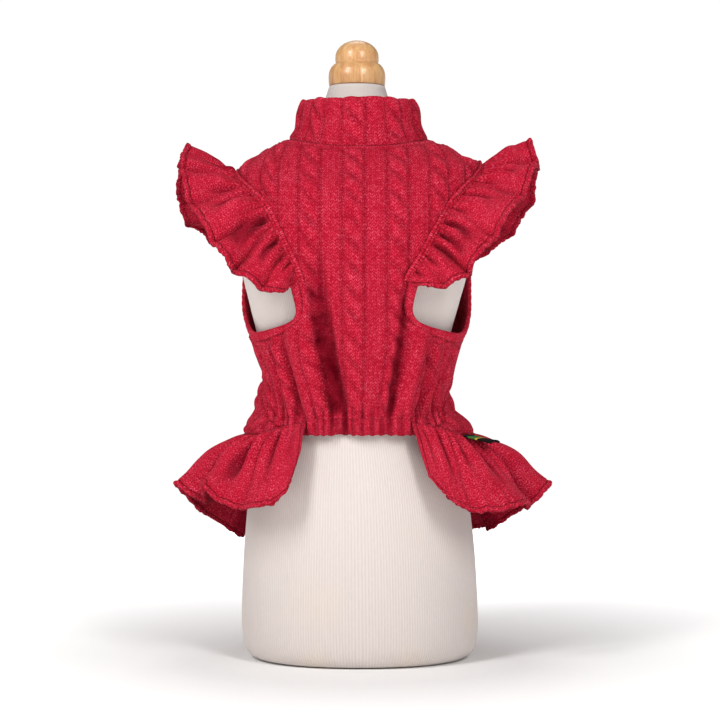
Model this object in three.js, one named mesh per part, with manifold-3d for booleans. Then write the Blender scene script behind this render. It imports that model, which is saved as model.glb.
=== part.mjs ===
// A cable-knit dog dress worn by a small limbless dress form. Millimetres, +Z up.
// The belly side of the dress faces -Y, its back faces +Y, and the form stands on z = 0.
// A ring is one level section of the dress: angle 0 is the centre of the belly, +90 degrees
// the wearer's side at +X, and 180 degrees the centre of the back.

import * as THREE from 'three';
import { mergeVertices } from 'three/addons/utils/BufferGeometryUtils.js';
import Module from 'manifold-3d';

const wasm = await Module();
wasm.setup();

// ---------------------------------------------------------------- driving sizes

// Cloth
const clothThickness = 1.6;
const seamGap = 0.3;
const seamEase = 0.1; // added to a gap whose edges aren't quite parallel
const sliver = 0.025; // edges of cut cloth shorter than this are merged
const rounding = 1e-6;
const knit = {
  columnWidth: 15, // one knit column, a cable or the rib beside it
  cableRise: 1.35,
  ribRise: 1.0,
  crossing: 16, // height of one crossing of the two cable strands
  crossingDepth: 0.8,
  slant: 1.33, // crossings a strand passes over the width of its column
  fullness: 0.6, // below 1 a column is rounder and fuller
  grooveSharpness: 2,
  rowHeight: 16 / 3,
};
const sectionRoundness = 2.25; // 2 is an ellipse, more is squarer

// Rings of the dress, keyed by the height of their side; 'tilt' raises the side at +X
const bodyRings = [
  { side: 156, front: 157, back: 134, tilt: 0, left: 79, right: 81, frontDepth: 64.5, backDepth: 80 },
  { side: 162, front: 162, back: 141, tilt: 0, left: 77, right: 77.5, frontDepth: 65, backDepth: 79 },
  { side: 170, front: 169, back: 152, tilt: 0, left: 72.5, right: 67.5, frontDepth: 65.5, backDepth: 74 },
  { side: 182, front: 181, back: 168, tilt: 0, left: 68.2, right: 62.2, frontDepth: 66, backDepth: 69 },
  { side: 194, front: 193, back: 184, tilt: 0, left: 65, right: 64.8, frontDepth: 66, backDepth: 67 },
  { side: 207, front: 206, back: 201, tilt: 0, left: 69, right: 67.5, frontDepth: 66.5, backDepth: 67 },
  { side: 228, front: 227, back: 225, tilt: 0, left: 75.8, right: 75, frontDepth: 68, backDepth: 68 },
  { side: 249, front: 248, back: 248, tilt: 0, left: 82.2, right: 80.2, frontDepth: 71, backDepth: 70 },
  { side: 270, front: 270, back: 271, tilt: 0, left: 85.5, right: 84, frontDepth: 73.5, backDepth: 72 },
  { side: 300, front: 299, back: 301, tilt: 1, left: 87, right: 86.5, frontDepth: 75.5, backDepth: 73.5 },
  { side: 322, front: 318, back: 322, tilt: 3, left: 87, right: 87.5, frontDepth: 71, backDepth: 71 },
  { side: 338, front: 332, back: 338, tilt: 5.5, left: 84.5, right: 86, frontDepth: 62, backDepth: 64 },
  { side: 346, front: 340, back: 346.5, tilt: 1, left: 72.5, right: 74.5, frontDepth: 56.5, backDepth: 58.5 },
  { side: 353, front: 346, back: 354.5, tilt: 0, left: 62, right: 63.5, frontDepth: 51.5, backDepth: 53.5 },
  { side: 360, front: 352, back: 361, tilt: 0, left: 50, right: 50, frontDepth: 46, backDepth: 48 },
];
const dressBottom = 156;
const casingTop = 169;
const dressTop = 360;

// Armhole seen from the side, from the front end of the sleeve ruffle over the shoulder,
// down the back and round below
const armholeOutline = [
  { name: 'front end', leftForward: 66, leftHeight: 259, rightForward: 67.5, rightHeight: 259 },
  { name: 'front', leftForward: 65, leftHeight: 277, rightForward: 66, rightHeight: 275 },
  { name: 'front above', leftForward: 61.5, leftHeight: 296, rightForward: 62.5, rightHeight: 294 },
  { name: 'front shoulder', leftForward: 54, leftHeight: 311, rightForward: 54, rightHeight: 312 },
  { name: 'near the top', leftForward: 29, leftHeight: 328, rightForward: 29, rightHeight: 332 },
  { name: 'shoulder point', leftForward: 2, leftHeight: 336.5, rightForward: 2, rightHeight: 342.5 },
  { name: 'back shoulder', leftForward: -21, leftHeight: 328, rightForward: -21, rightHeight: 332 },
  { name: 'back above', leftForward: -33, leftHeight: 312, rightForward: -33, rightHeight: 314 },
  { name: 'back', leftForward: -37, leftHeight: 296, rightForward: -37, rightHeight: 296 },
  { name: 'back end', leftForward: -35, leftHeight: 279, rightForward: -35, rightHeight: 279 },
  { name: 'back below', leftForward: -21, leftHeight: 248, rightForward: -21, rightHeight: 248 },
  { name: 'underarm', leftForward: 24, leftHeight: 221, rightForward: 22, rightHeight: 220.5 },
  { name: 'front below', leftForward: 59, leftHeight: 230, rightForward: 60, rightHeight: 229 },
];
const ruffleEnd = 9 / armholeOutline.length; // share of the armhole that the ruffle takes

// Side seam between the belly and the back, seen from the side
const sideSeam = [
  { forward: 4, height: 232 },
  { forward: 5, height: 207 },
  { forward: 12, height: 193 },
  { forward: 26, height: 180 },
  { forward: 41, height: 168 },
  { forward: 53, height: 161 },
  { forward: 59, height: 152 },
];

// How every fold changes over its height
const foldShape = {
  widening: 0.6, // how much wider it is at its top, as a share
  fadeStart: 0.35, // share of its height from which it fades
  inCasing: 0.4, // share of its rise that is left in the casing
  casingEase: { below: 2, above: 12 },
};
// Folds of the belly: each runs up from the elastic hem and fades out at its top
const bellyFolds = [
  { hem: -43, across: -66, top: 222, width: 5.5, rise: -2.4 },
  { hem: -32, across: -50, top: 236, width: 5.5, rise: 2.4 },
  { hem: -22, across: -42, top: 240, width: 5, rise: -2.6 },
  { hem: -9, across: -30, top: 262, width: 6, rise: -4.2 },
  { hem: 5, across: -4, top: 285, width: 6.5, rise: 4 },
  { hem: 19, across: 28, top: 272, width: 5, rise: -4.4 },
  { hem: 28, across: 43, top: 240, width: 5.5, rise: 2.6 },
  { hem: 38, across: 58, top: 232, width: 5.5, rise: -2.6 },
];
// Folds of the back: soft drapes over the hips
const backFolds = [
  { hem: -150, across: -92, top: 208, width: 8, rise: 2.5 },
  { hem: -120, across: -80, top: 195, width: 7, rise: -1.6 },
  { hem: -40, across: -34, top: 230, width: 12, rise: 2 },
  { hem: 30, across: 24, top: 222, width: 12, rise: 2 },
  { hem: 112, across: 78, top: 192, width: 8, rise: -1.6 },
  { hem: 146, across: 90, top: 204, width: 8, rise: 2.5 },
];

// Elastic hem of the belly
const casing = {
  swell: 1.5,
  gathers: 13,
  gatherDepth: 0.6,
  cutWidth: 122,
  squeeze: 0.68, // width of the drawn cloth as a share of its cut width
  easeBelow: 4,
  easeAbove: 55, // height over which the cloth spreads again
  rows: 3,
};

// Collar, a folded tube: rows run up its outside from the seam
const collarRings = [
  { rise: 0, left: 48.8, right: 49.6, frontDepth: 46, backDepth: 47.5 },
  { rise: 5, left: 45.5, right: 46.5, frontDepth: 45.2, backDepth: 46 },
  { rise: 13, left: 42.3, right: 43.2, frontDepth: 43.2, backDepth: 43.4 },
  { rise: 22, left: 41.4, right: 42.4, frontDepth: 42.4, backDepth: 42.4 },
  { rise: 29, left: 39.9, right: 40.9, frontDepth: 41, backDepth: 41 },
];
const collar = {
  columns: 20,
  origin: 10.5,
  frontHeight: 33,
  sideHeight: 27,
  backHeight: 26.5,
  rimRadius: 1.5,
  bothLayers: 2.4, // the two layers of the folded tube together
  rimStart: 0.86, // share of the height where the knit fades into the rim
  frontLift: 0.6, // the inside clears the belly's slanted edge
  rows: 6,
};

// Sleeve ruffles: from the seam to the edge, towards the side, forward and up, and how far
// the cloth lifts between. 'at' is the share of the ruffle's seam from its front end over the
// shoulder to its back end
const leftSleeveReach = [
  { at: 0, side: 4, forward: 0, up: -2, lift: 0.3 },
  { at: 0.06, side: 10, forward: 9, up: -18, lift: 2 },
  { at: 0.14, side: 16, forward: 15, up: -27, lift: 3 },
  { at: 0.22, side: 23, forward: 17, up: -30, lift: 3 },
  { at: 0.31, side: 33, forward: 17, up: -23, lift: 3 },
  { at: 0.4, side: 42, forward: 12, up: -11, lift: 2 },
  { at: 0.48, side: 41, forward: 6, up: 6, lift: 2 },
  { at: 0.545, side: 32, forward: 0, up: 22, lift: 2 },
  { at: 0.62, side: 42, forward: -7, up: 9, lift: 3 },
  { at: 0.72, side: 44, forward: -11, up: -5, lift: 3 },
  { at: 0.83, side: 33, forward: -11, up: -9, lift: 3 },
  { at: 0.93, side: 15, forward: -6, up: -7, lift: 2 },
  { at: 1, side: 4, forward: 0, up: -2, lift: 0.3 },
];
const rightSleeveReach = [
  { at: 0, side: 4, forward: 0, up: -2, lift: 0.3 },
  { at: 0.06, side: 12, forward: 10, up: -13, lift: 2 },
  { at: 0.14, side: 23, forward: 15, up: -20, lift: 3 },
  { at: 0.22, side: 26, forward: 17, up: -24, lift: 3 },
  { at: 0.31, side: 34, forward: 17, up: -18, lift: 3 },
  { at: 0.4, side: 40, forward: 12, up: -7, lift: 3 },
  { at: 0.48, side: 40, forward: 6, up: 5, lift: 5 },
  { at: 0.545, side: 37, forward: 0, up: 13, lift: 6 },
  { at: 0.62, side: 41, forward: -7, up: 4, lift: 5 },
  { at: 0.72, side: 39, forward: -11, up: -9, lift: 3 },
  { at: 0.83, side: 26, forward: -11, up: -13, lift: 3 },
  { at: 0.93, side: 12, forward: -6, up: -9, lift: 2 },
  { at: 1, side: 4, forward: 0, up: -2, lift: 0.3 },
];
const leftSleeveWaves = [
  { at: 0, rise: 0 },
  { at: 0.035, rise: -1.5 },
  { at: 0.075, rise: 2.5 },
  { at: 0.12, rise: -2.5 },
  { at: 0.165, rise: 3 },
  { at: 0.215, rise: -5.5 },
  { at: 0.265, rise: 3.5 },
  { at: 0.305, rise: -2.5 },
  { at: 0.355, rise: 3.5 },
  { at: 0.405, rise: -3.5 },
  { at: 0.445, rise: 3.5 },
  { at: 0.485, rise: -4 },
  { at: 0.53, rise: 4.5 },
  { at: 0.575, rise: -4 },
  { at: 0.62, rise: 4 },
  { at: 0.665, rise: -3.5 },
  { at: 0.71, rise: 4 },
  { at: 0.76, rise: -3.5 },
  { at: 0.81, rise: 3.5 },
  { at: 0.86, rise: -3 },
  { at: 0.91, rise: 2.5 },
  { at: 0.955, rise: -1.5 },
  { at: 1, rise: 0 },
];
const rightSleeveWaves = [
  { at: 0, rise: 0 },
  { at: 0.045, rise: 2 },
  { at: 0.09, rise: -2.5 },
  { at: 0.13, rise: 2.5 },
  { at: 0.18, rise: -5.5 },
  { at: 0.235, rise: 4 },
  { at: 0.3, rise: -2.5 },
  { at: 0.35, rise: 2.5 },
  { at: 0.405, rise: -3 },
  { at: 0.45, rise: 3 },
  { at: 0.495, rise: -4.5 },
  { at: 0.55, rise: 4.5 },
  { at: 0.6, rise: -4 },
  { at: 0.65, rise: 3.5 },
  { at: 0.7, rise: -3.5 },
  { at: 0.75, rise: 4 },
  { at: 0.8, rise: -3.5 },
  { at: 0.85, rise: 3 },
  { at: 0.9, rise: -2.5 },
  { at: 0.95, rise: 2 },
  { at: 1, rise: 0 },
];
const sleeveRuffle = { inset: 1.6, rootDepth: 0.9, rows: 4 };

// Skirt ruffle, gathered to the lower edge of the back, from one corner of the belly round
// the back to the other: outward from the ring, down and along it, and the lift between
const skirtReach = [
  { at: 0, out: 23, down: 37, along: 0, lift: 1 },
  { at: 0.025, out: 29, down: 47, along: 0, lift: 1 },
  { at: 0.08, out: 38, down: 48, along: -2, lift: 2 },
  { at: 0.13, out: 44, down: 44, along: -2, lift: 3 },
  { at: 0.19, out: 47, down: 37, along: 0, lift: 4 },
  { at: 0.27, out: 40, down: 57, along: 0, lift: 2 },
  { at: 0.36, out: 34, down: 68, along: 0, lift: 1 },
  { at: 0.5, out: 30, down: 68, along: 0, lift: 1 },
  { at: 0.64, out: 34, down: 67, along: 0, lift: 1 },
  { at: 0.73, out: 43, down: 57, along: 0, lift: 2 },
  { at: 0.81, out: 55, down: 37, along: 0, lift: 5 },
  { at: 0.87, out: 46, down: 46, along: 2, lift: 3 },
  { at: 0.92, out: 38, down: 48, along: 2, lift: 2 },
  { at: 0.975, out: 30, down: 48, along: 1, lift: 1 },
  { at: 1, out: 24, down: 38, along: 1, lift: 1 },
];
const skirtWaves = [
  { at: 0, rise: 0 },
  { at: 0.03, rise: 2 },
  { at: 0.055, rise: -1.5 },
  { at: 0.09, rise: 6 },
  { at: 0.135, rise: -9 },
  { at: 0.19, rise: 8 },
  { at: 0.235, rise: -7 },
  { at: 0.28, rise: 7 },
  { at: 0.325, rise: -7 },
  { at: 0.375, rise: 7 },
  { at: 0.42, rise: -7 },
  { at: 0.465, rise: 7 },
  { at: 0.51, rise: -7 },
  { at: 0.555, rise: 7 },
  { at: 0.6, rise: -7 },
  { at: 0.65, rise: 7 },
  { at: 0.695, rise: -7 },
  { at: 0.745, rise: 6 },
  { at: 0.78, rise: -4 },
  { at: 0.815, rise: 7 },
  { at: 0.855, rise: -8 },
  { at: 0.91, rise: 6 },
  { at: 0.95, rise: -1 },
  { at: 0.975, rise: 2 },
  { at: 1, rise: 0 },
];
const skirt = { rows: 4, drop: 1.2, cornerAngle: THREE.MathUtils.degToRad(26) };

// Turned band round the lower part of each armhole, and its section: how far into the hole
// and how far out each point lies, as shares of the band's width and of its two thicknesses
const armholeBand = { width: 5.6, above: 0.9, below: 1.5, gap: 0.7, start: 0.012, steps: 20 };
const bandSection = [
  { inset: 0, above: 0, below: 1 },
  { inset: 0, above: 0.5, below: 0 },
  { inset: 0.25, above: 1, below: 0 },
  { inset: 0.75, above: 1, below: 0 },
  { inset: 1, above: 0.3, below: 0 },
  { inset: 1, above: 0, below: 0.8 },
  { inset: 0.5, above: 0, below: 1 },
];

// Woven label in the skirt seam at the wearer's side
const label = {
  length: 22,
  width: 13,
  thickness: 1.2,
  drop: 0.84,
  angle: THREE.MathUtils.degToRad(63),
  droop: THREE.MathUtils.degToRad(12),
};

// Dress form
const formRings = [
  { height: 0, half: 68, depth: 57, shift: 1.4 },
  { height: 1.4, half: 74, depth: 63, shift: 1.4 },
  { height: 5.5, half: 79, depth: 67.5, shift: 1.4 },
  { height: 14, half: 81.8, depth: 70, shift: 1.4 },
  { height: 35, half: 82.3, depth: 70.5, shift: 1.2 },
  { height: 80, half: 80, depth: 68.8, shift: 0.8 },
  { height: 120, half: 75, depth: 65, shift: 0 },
  { height: 150, half: 66, depth: 60, shift: -1.2 },
  { height: 175, half: 59.5, depth: 57, shift: -2.4 },
  { height: 200, half: 61, depth: 57.5, shift: -2.8 },
  { height: 228, half: 68.3, depth: 61, shift: -2.9 },
  { height: 248, half: 73.6, depth: 65, shift: -2.6 },
  { height: 268, half: 78.5, depth: 68, shift: -2.2 },
  { height: 300, half: 81.3, depth: 69.5, shift: -1.6 },
  { height: 320, half: 80, depth: 65.5, shift: -1 },
  { height: 333, half: 74, depth: 57, shift: -0.8 },
  { height: 344, half: 59, depth: 47.5, shift: -0.6 },
  { height: 357, half: 43, depth: 39, shift: -0.6 },
  { height: 375, half: 29.5, depth: 28.5, shift: -0.7 },
  { height: 390, half: 22.2, depth: 22.2, shift: -0.7 },
  { height: 398, half: 19.6, depth: 19.6, shift: -0.7 },
];
const formSides = 28;
const formRoundness = 2.15;

// Turned finial
const finial = {
  shift: -0.7,
  seat: 398.3,
  footRadius: 18.6,
  bulgeRadius: 20.3,
  bulgeHeight: 15.5,
  grooveRadius: 14.6,
  grooveHeight: 1.2,
  grooveDepth: 0.4,
  domeRadius: 15.2,
  domeHeight: 15.6,
  domeRoundness: 0.85,
  domeMiddle: 0.3, // share of the dome's height where it is widest
  bulgeTurns: [-0.38, 0.42], // parts of a half turn that the bulge's outline covers
  domeTurns: [-0.16, 0.5],
  bulgeSteps: 6,
  domeSteps: 7,
  sides: 20,
};

// ---------------------------------------------------------------- interpolation

// Values of a table's columns between its rows, on a smooth curve through them
function smoothRow(table, key, place) {
  const last = table.length - 1;
  let low = 0;
  while (low < last - 1 && place > table[low + 1][key]) {
    low += 1;
  }
  const rows = [
    table[Math.max(low - 1, 0)],
    table[low],
    table[low + 1],
    table[Math.min(low + 2, last)],
  ];
  const span = rows[2][key] - rows[1][key];
  const share = (place - rows[1][key]) / span;
  const result = { [key]: place };
  for (const column of Object.keys(rows[1])) {
    if (column === key || column === 'name') {
      continue;
    }
    const slopeIn = (rows[2][column] - rows[0][column]) / (rows[2][key] - rows[0][key]);
    const slopeOut = (rows[3][column] - rows[1][column]) / (rows[3][key] - rows[1][key]);
    const rise = rows[2][column] - rows[1][column];
    const bend = share * (1 - share);
    result[column] = rows[1][column] + rise * share * share * (3 - 2 * share)
      + span * bend * (slopeIn * (1 - share) - slopeOut * share);
  }
  return result;
}

function smoothStep(low, high, value) {
  return THREE.MathUtils.smoothstep(value, low, high);
}

// Height of a row of ridges and troughs, rounded at each
function waveRise(waves, at) {
  let low = 0;
  while (low < waves.length - 2 && at > waves[low + 1].at) {
    low += 1;
  }
  const share = (at - waves[low].at) / (waves[low + 1].at - waves[low].at);
  const eased = (1 - Math.cos(Math.PI * THREE.MathUtils.clamp(share, 0, 1))) / 2;
  return THREE.MathUtils.lerp(waves[low].rise, waves[low + 1].rise, eased);
}

// Places along a ruffle, a few from each ridge to the next trough
function waveSteps(waves, stepsPerSlope) {
  const places = [];
  for (let index = 0; index < waves.length - 1; index += 1) {
    for (let step = 0; step < stepsPerSlope; step += 1) {
      places.push(THREE.MathUtils.lerp(waves[index].at, waves[index + 1].at, step / stepsPerSlope));
    }
  }
  places.push(1);
  return places;
}

// ---------------------------------------------------------------- closed meshes

function signedVolume(points, faces) {
  let sum = 0;
  for (const [a, b, c] of faces) {
    sum += points[a].dot(new THREE.Vector3().crossVectors(points[b], points[c]));
  }
  return sum / 6;
}

function closedGeometry(points, faces) {
  const outward = signedVolume(points, faces) > 0;
  const positions = new Float32Array(points.length * 3);
  points.forEach((point, index) => point.toArray(positions, index * 3));
  const indices = faces.flatMap(([a, b, c]) => (outward ? [a, b, c] : [a, c, b]));
  const geometry = new THREE.BufferGeometry();
  geometry.setAttribute('position', new THREE.BufferAttribute(positions, 3));
  geometry.setIndex(indices);
  return geometry;
}

function addQuad(faces, a, b, c, d) {
  faces.push([a, b, c], [a, c, d]);
}

// Solid between a stack of rings, each a closed loop of points, capped at both ends
function stackGeometry(rings) {
  const count = rings[0].length;
  const points = rings.flat();
  const faces = [];
  for (let row = 0; row < rings.length - 1; row += 1) {
    for (let index = 0; index < count; index += 1) {
      const next = (index + 1) % count;
      addQuad(faces, row * count + index, row * count + next,
        (row + 1) * count + next, (row + 1) * count + index);
    }
  }
  for (const [ring, start, turn] of [[rings[0], 0, -1], [rings.at(-1), (rings.length - 1) * count, 1]]) {
    const middle = ring.reduce((sum, point) => sum.add(point), new THREE.Vector3()).divideScalar(count);
    points.push(middle);
    for (let index = 0; index < count; index += 1) {
      const next = (index + 1) % count;
      const face = [start + index, start + next, points.length - 1];
      faces.push(turn > 0 ? face : face.reverse());
    }
  }
  return closedGeometry(points, faces);
}

// Wall between an outer and an inner sheet of points with the same rows and columns
function wallGeometry(outer, inner) {
  const rows = outer.length;
  const columns = outer[0].length;
  const points = [...outer.flat(), ...inner.flat()];
  const faces = [];
  const at = (sheet, row, column) => (sheet * rows + row) * columns + column;
  for (let row = 0; row < rows - 1; row += 1) {
    for (let column = 0; column < columns - 1; column += 1) {
      addQuad(faces, at(0, row, column), at(0, row, column + 1),
        at(0, row + 1, column + 1), at(0, row + 1, column));
      addQuad(faces, at(1, row, column), at(1, row + 1, column),
        at(1, row + 1, column + 1), at(1, row, column + 1));
    }
  }
  for (let column = 0; column < columns - 1; column += 1) {
    const last = rows - 1;
    addQuad(faces, at(0, 0, column), at(1, 0, column), at(1, 0, column + 1), at(0, 0, column + 1));
    addQuad(faces, at(0, last, column), at(0, last, column + 1),
      at(1, last, column + 1), at(1, last, column));
  }
  for (let row = 0; row < rows - 1; row += 1) {
    const last = columns - 1;
    addQuad(faces, at(0, row, 0), at(0, row + 1, 0), at(1, row + 1, 0), at(1, row, 0));
    addQuad(faces, at(0, row, last), at(1, row, last), at(1, row + 1, last), at(0, row + 1, last));
  }
  return closedGeometry(points, faces);
}

// Ring of cloth whose section is a closed loop, such as a collar
function loopGeometry(sections) {
  const count = sections[0].length;
  const faces = [];
  for (let row = 0; row < sections.length; row += 1) {
    const nextRow = (row + 1) % sections.length;
    for (let index = 0; index < count; index += 1) {
      const next = (index + 1) % count;
      addQuad(faces, row * count + index, row * count + next,
        nextRow * count + next, nextRow * count + index);
    }
  }
  return closedGeometry(sections.flat(), faces);
}

function toSolid(geometry) {
  const bare = geometry.clone();
  bare.deleteAttribute('normal');
  bare.deleteAttribute('uv');
  const merged = mergeVertices(bare, 1e-4);
  return new wasm.Manifold(new wasm.Mesh({
    numProp: 3,
    vertProperties: merged.attributes.position.array,
    triVerts: new Uint32Array(merged.index.array),
  }));
}

function fromSolid(solid) {
  const mesh = solid.simplify(sliver).getMesh();
  const geometry = new THREE.BufferGeometry();
  geometry.setAttribute('position', new THREE.BufferAttribute(mesh.vertProperties, 3));
  geometry.setIndex(new THREE.BufferAttribute(mesh.triVerts, 1));
  return geometry;
}

// ---------------------------------------------------------------- surface of the dress

function signedPower(value, power) {
  return Math.sign(value) * Math.abs(value) ** power;
}

// Point of a ring at an angle, moved out by an offset
function ringPoint(ring, angle, offset = 0) {
  const sine = Math.sin(angle);
  const cosine = Math.cos(angle);
  const half = sine > 0 ? ring.right : ring.left;
  const depth = cosine > 0 ? ring.frontDepth : ring.backDepth;
  const end = cosine > 0 ? ring.front : ring.back;
  const power = 2 / sectionRoundness;
  return new THREE.Vector3(
    (half + offset) * signedPower(sine, power),
    -(depth + offset) * signedPower(cosine, power),
    ring.side + (end - ring.side) * cosine * cosine + (sine > 0 ? ring.tilt * sine * sine : 0),
  );
}

const smallTurn = 0.02; // radians, for directions along a ring

function bodyRing(key) {
  return smoothRow(bodyRings, 'side', key);
}

// Level direction that points out of a ring
function ringOutward(ring, angle) {
  const around = ringPoint(ring, angle + smallTurn).sub(ringPoint(ring, angle - smallTurn));
  return new THREE.Vector3(around.y, -around.x, 0).normalize();
}

// Angles of a ring at even steps, with the distance walked from the belly's centre
const walkSteps = 180;

function walkRing(ring) {
  const walks = { right: [0], left: [0] };
  for (const side of ['right', 'left']) {
    const sign = side === 'right' ? 1 : -1;
    for (let step = 1; step <= walkSteps; step += 1) {
      const here = ringPoint(ring, (sign * Math.PI * step) / walkSteps);
      const before = ringPoint(ring, (sign * Math.PI * (step - 1)) / walkSteps);
      walks[side].push(walks[side][step - 1] + here.distanceTo(before));
    }
  }
  return walks;
}

function angleAtDistance(walks, distance) {
  const walk = distance > 0 ? walks.right : walks.left;
  const target = Math.min(Math.abs(distance), walk.at(-1));
  let step = 1;
  while (step < walk.length - 1 && walk[step] < target) {
    step += 1;
  }
  const share = (target - walk[step - 1]) / (walk[step] - walk[step - 1]);
  return (Math.sign(distance) * Math.PI * (step - 1 + share)) / (walk.length - 1);
}

// Angle of a point that lies a distance from the back's centre
function backAngleAtDistance(walks, distance) {
  const walk = distance > 0 ? walks.right : walks.left;
  const fromBelly = walk.at(-1) - Math.abs(distance);
  return angleAtDistance(walks, distance > 0 ? fromBelly : -fromBelly);
}

// Raised knit: cables and ribs take turns across the cloth
function knitRise(across, along) {
  const column = Math.floor(across / knit.columnWidth + rounding);
  const place = across / knit.columnWidth - column;
  const dome = Math.max(0, Math.sin(Math.PI * place)) ** knit.fullness;
  if (column % 2 !== 0) {
    return knit.ribRise * dome;
  }
  const turn = along / knit.crossing + place * knit.slant;
  const groove = Math.max(0, Math.cos(2 * Math.PI * turn)) ** knit.grooveSharpness;
  return (knit.cableRise - knit.crossingDepth * groove) * dome;
}

// Soft ridges and troughs that run up from the hem
function foldRise(folds, across, height) {
  let rise = 0;
  for (const fold of folds) {
    const share = (height - dressBottom) / (fold.top - dressBottom);
    const centre = THREE.MathUtils.lerp(fold.hem, fold.across, share);
    const width = fold.width * (1 + foldShape.widening * Math.max(share, 0));
    const distance = (across - centre) / width;
    const fade = 1 - smoothStep(foldShape.fadeStart, 1, share);
    rise += fold.rise * Math.exp(-distance * distance) * fade;
  }
  const { below, above } = foldShape.casingEase;
  const ease = smoothStep(casingTop - below, casingTop + above, height);
  return rise * THREE.MathUtils.lerp(foldShape.inCasing, 1, ease);
}

// Point on the smooth dress at a height, as far forward as asked, on side -1 or +1, with
// the outward normal there
const settlingRounds = 12;

function sidePoint(side, forward, height) {
  let key = height;
  let angle = 0;
  let point = null;
  for (let round = 0; round < settlingRounds; round += 1) {
    const ring = bodyRing(key);
    const depth = forward > 0 ? ring.frontDepth : ring.backDepth;
    const cosine = signedPower(THREE.MathUtils.clamp(forward / depth, -1, 1), sectionRoundness / 2);
    angle = side * Math.acos(cosine);
    point = ringPoint(ring, angle);
    key += height - point.z;
  }
  return { point, normal: surfaceNormal(key, angle) };
}

function surfaceNormal(key, angle) {
  const ring = bodyRing(key);
  const around = ringPoint(ring, angle + smallTurn).sub(ringPoint(ring, angle - smallTurn));
  const upward = ringPoint(bodyRing(key + 0.5), angle).sub(ringPoint(bodyRing(key - 0.5), angle));
  return new THREE.Vector3().crossVectors(around, upward).normalize();
}

// ---------------------------------------------------------------- panels of the body

// Distances across the cloth where a panel has points: edges of each knit column and some
// between
function columnPlaces(first, last, origin, [cableSteps, ribSteps]) {
  const places = [];
  for (let column = first; column <= last; column += 1) {
    const steps = column % 2 === 0 ? cableSteps : ribSteps;
    for (let step = 0; step < steps; step += 1) {
      places.push((column + step / steps) * knit.columnWidth - origin);
    }
  }
  places.push((last + 1) * knit.columnWidth - origin);
  return places;
}

// Knit columns of each panel on either side of its middle one, and where that one starts
const belly = { columns: 8, origin: 10.5, underSteps: 8 };
const back = { columns: 12, origin: knit.columnWidth / 2, underSteps: 6 };
const knitSteps = [3, 2]; // faces across a cable and across a rib
const plainSteps = [2, 1];

// How much the elastic draws the belly together at a height
function bellySqueeze(height) {
  const ease = smoothStep(casingTop - casing.easeBelow, casingTop + casing.easeAbove, height);
  return THREE.MathUtils.lerp(casing.squeeze, 1, ease);
}

function bellyRing(key, steps, offsetAt) {
  const ring = bodyRing(key);
  const walks = walkRing(ring);
  const squeeze = bellySqueeze(key);
  const points = [];
  const places = columnPlaces(-belly.columns, belly.columns, belly.origin, steps);
  for (const across of places) {
    points.push(ringPoint(ring, angleAtDistance(walks, across * squeeze), offsetAt(across)));
  }
  const last = angleAtDistance(walks, places.at(-1) * squeeze);
  const first = 2 * Math.PI + angleAtDistance(walks, places[0] * squeeze);
  for (let step = 1; step < belly.underSteps; step += 1) {
    points.push(ringPoint(ring, THREE.MathUtils.lerp(last, first, step / belly.underSteps)));
  }
  return points;
}

// The back's columns spread a little at its lower edge. Where a ring is short, those beyond
// 'kept', which the belly covers, are drawn together
const backSpread = { atHem: 1.1, top: 185, kept: 110, ringShare: 0.93 };
const backReach = (back.columns + 0.5) * knit.columnWidth;

function backDistance(across, key, walks) {
  const { atHem, top, kept, ringShare } = backSpread;
  const spread = Math.abs(across) * THREE.MathUtils.lerp(atHem, 1, smoothStep(dressBottom, top, key));
  const room = Math.min(walks.right.at(-1), walks.left.at(-1)) * ringShare;
  const squeeze = Math.min(1, (room - kept) / (backReach - kept));
  const distance = spread < kept ? spread : kept + (spread - kept) * squeeze;
  return Math.sign(across) * distance;
}

function backRing(key, steps, offsetAt) {
  const ring = bodyRing(key);
  const walks = walkRing(ring);
  const points = [];
  for (const across of columnPlaces(-back.columns, back.columns, back.origin, steps)) {
    const angle = backAngleAtDistance(walks, backDistance(across, key, walks));
    points.push(ringPoint(ring, angle, offsetAt(across)));
  }
  const last = backAngleAtDistance(walks, backDistance(backReach, key, walks));
  const first = backAngleAtDistance(walks, backDistance(-backReach, key, walks));
  for (let step = 1; step < back.underSteps; step += 1) {
    points.push(ringPoint(ring, THREE.MathUtils.lerp(last, first, step / back.underSteps)));
  }
  return points;
}

// Keys of rings that lie one knit row apart along the belly or the back
function rowKeys(start, end, angle, spacing) {
  const fine = 400;
  const keys = [start];
  let along = 0;
  let before = ringPoint(bodyRing(start), angle);
  for (let step = 1; step <= fine; step += 1) {
    const key = THREE.MathUtils.lerp(start, end, step / fine);
    const here = ringPoint(bodyRing(key), angle);
    along += here.distanceTo(before);
    before = here;
    if (along >= keys.length * spacing && step < fine) {
      keys.push(key);
    }
  }
  if (keys.length > 1 && along < (keys.length - 0.5) * spacing) {
    keys.pop();
  }
  keys.push(end);
  return keys;
}

const ringKeys = bodyRings.map((row) => row.side);

// Solid that hollows a panel out: its rings run on past both ends of the cloth
function hollow(rings) {
  const runOn = new THREE.Vector3(0, 0, 8);
  const lower = rings[0].map((point) => point.clone().sub(runOn));
  const upper = rings.at(-1).map((point) => point.clone().add(runOn));
  return toSolid(stackGeometry([lower, ...rings, upper]));
}

// Distance walked from the belly's centre to an angle
function distanceAtAngle(walks, turn) {
  const walk = turn > 0 ? walks.right : walks.left;
  const place = (Math.abs(turn) / Math.PI) * (walk.length - 1);
  return Math.sign(turn) * walk[Math.min(Math.round(place), walk.length - 1)];
}

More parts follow.
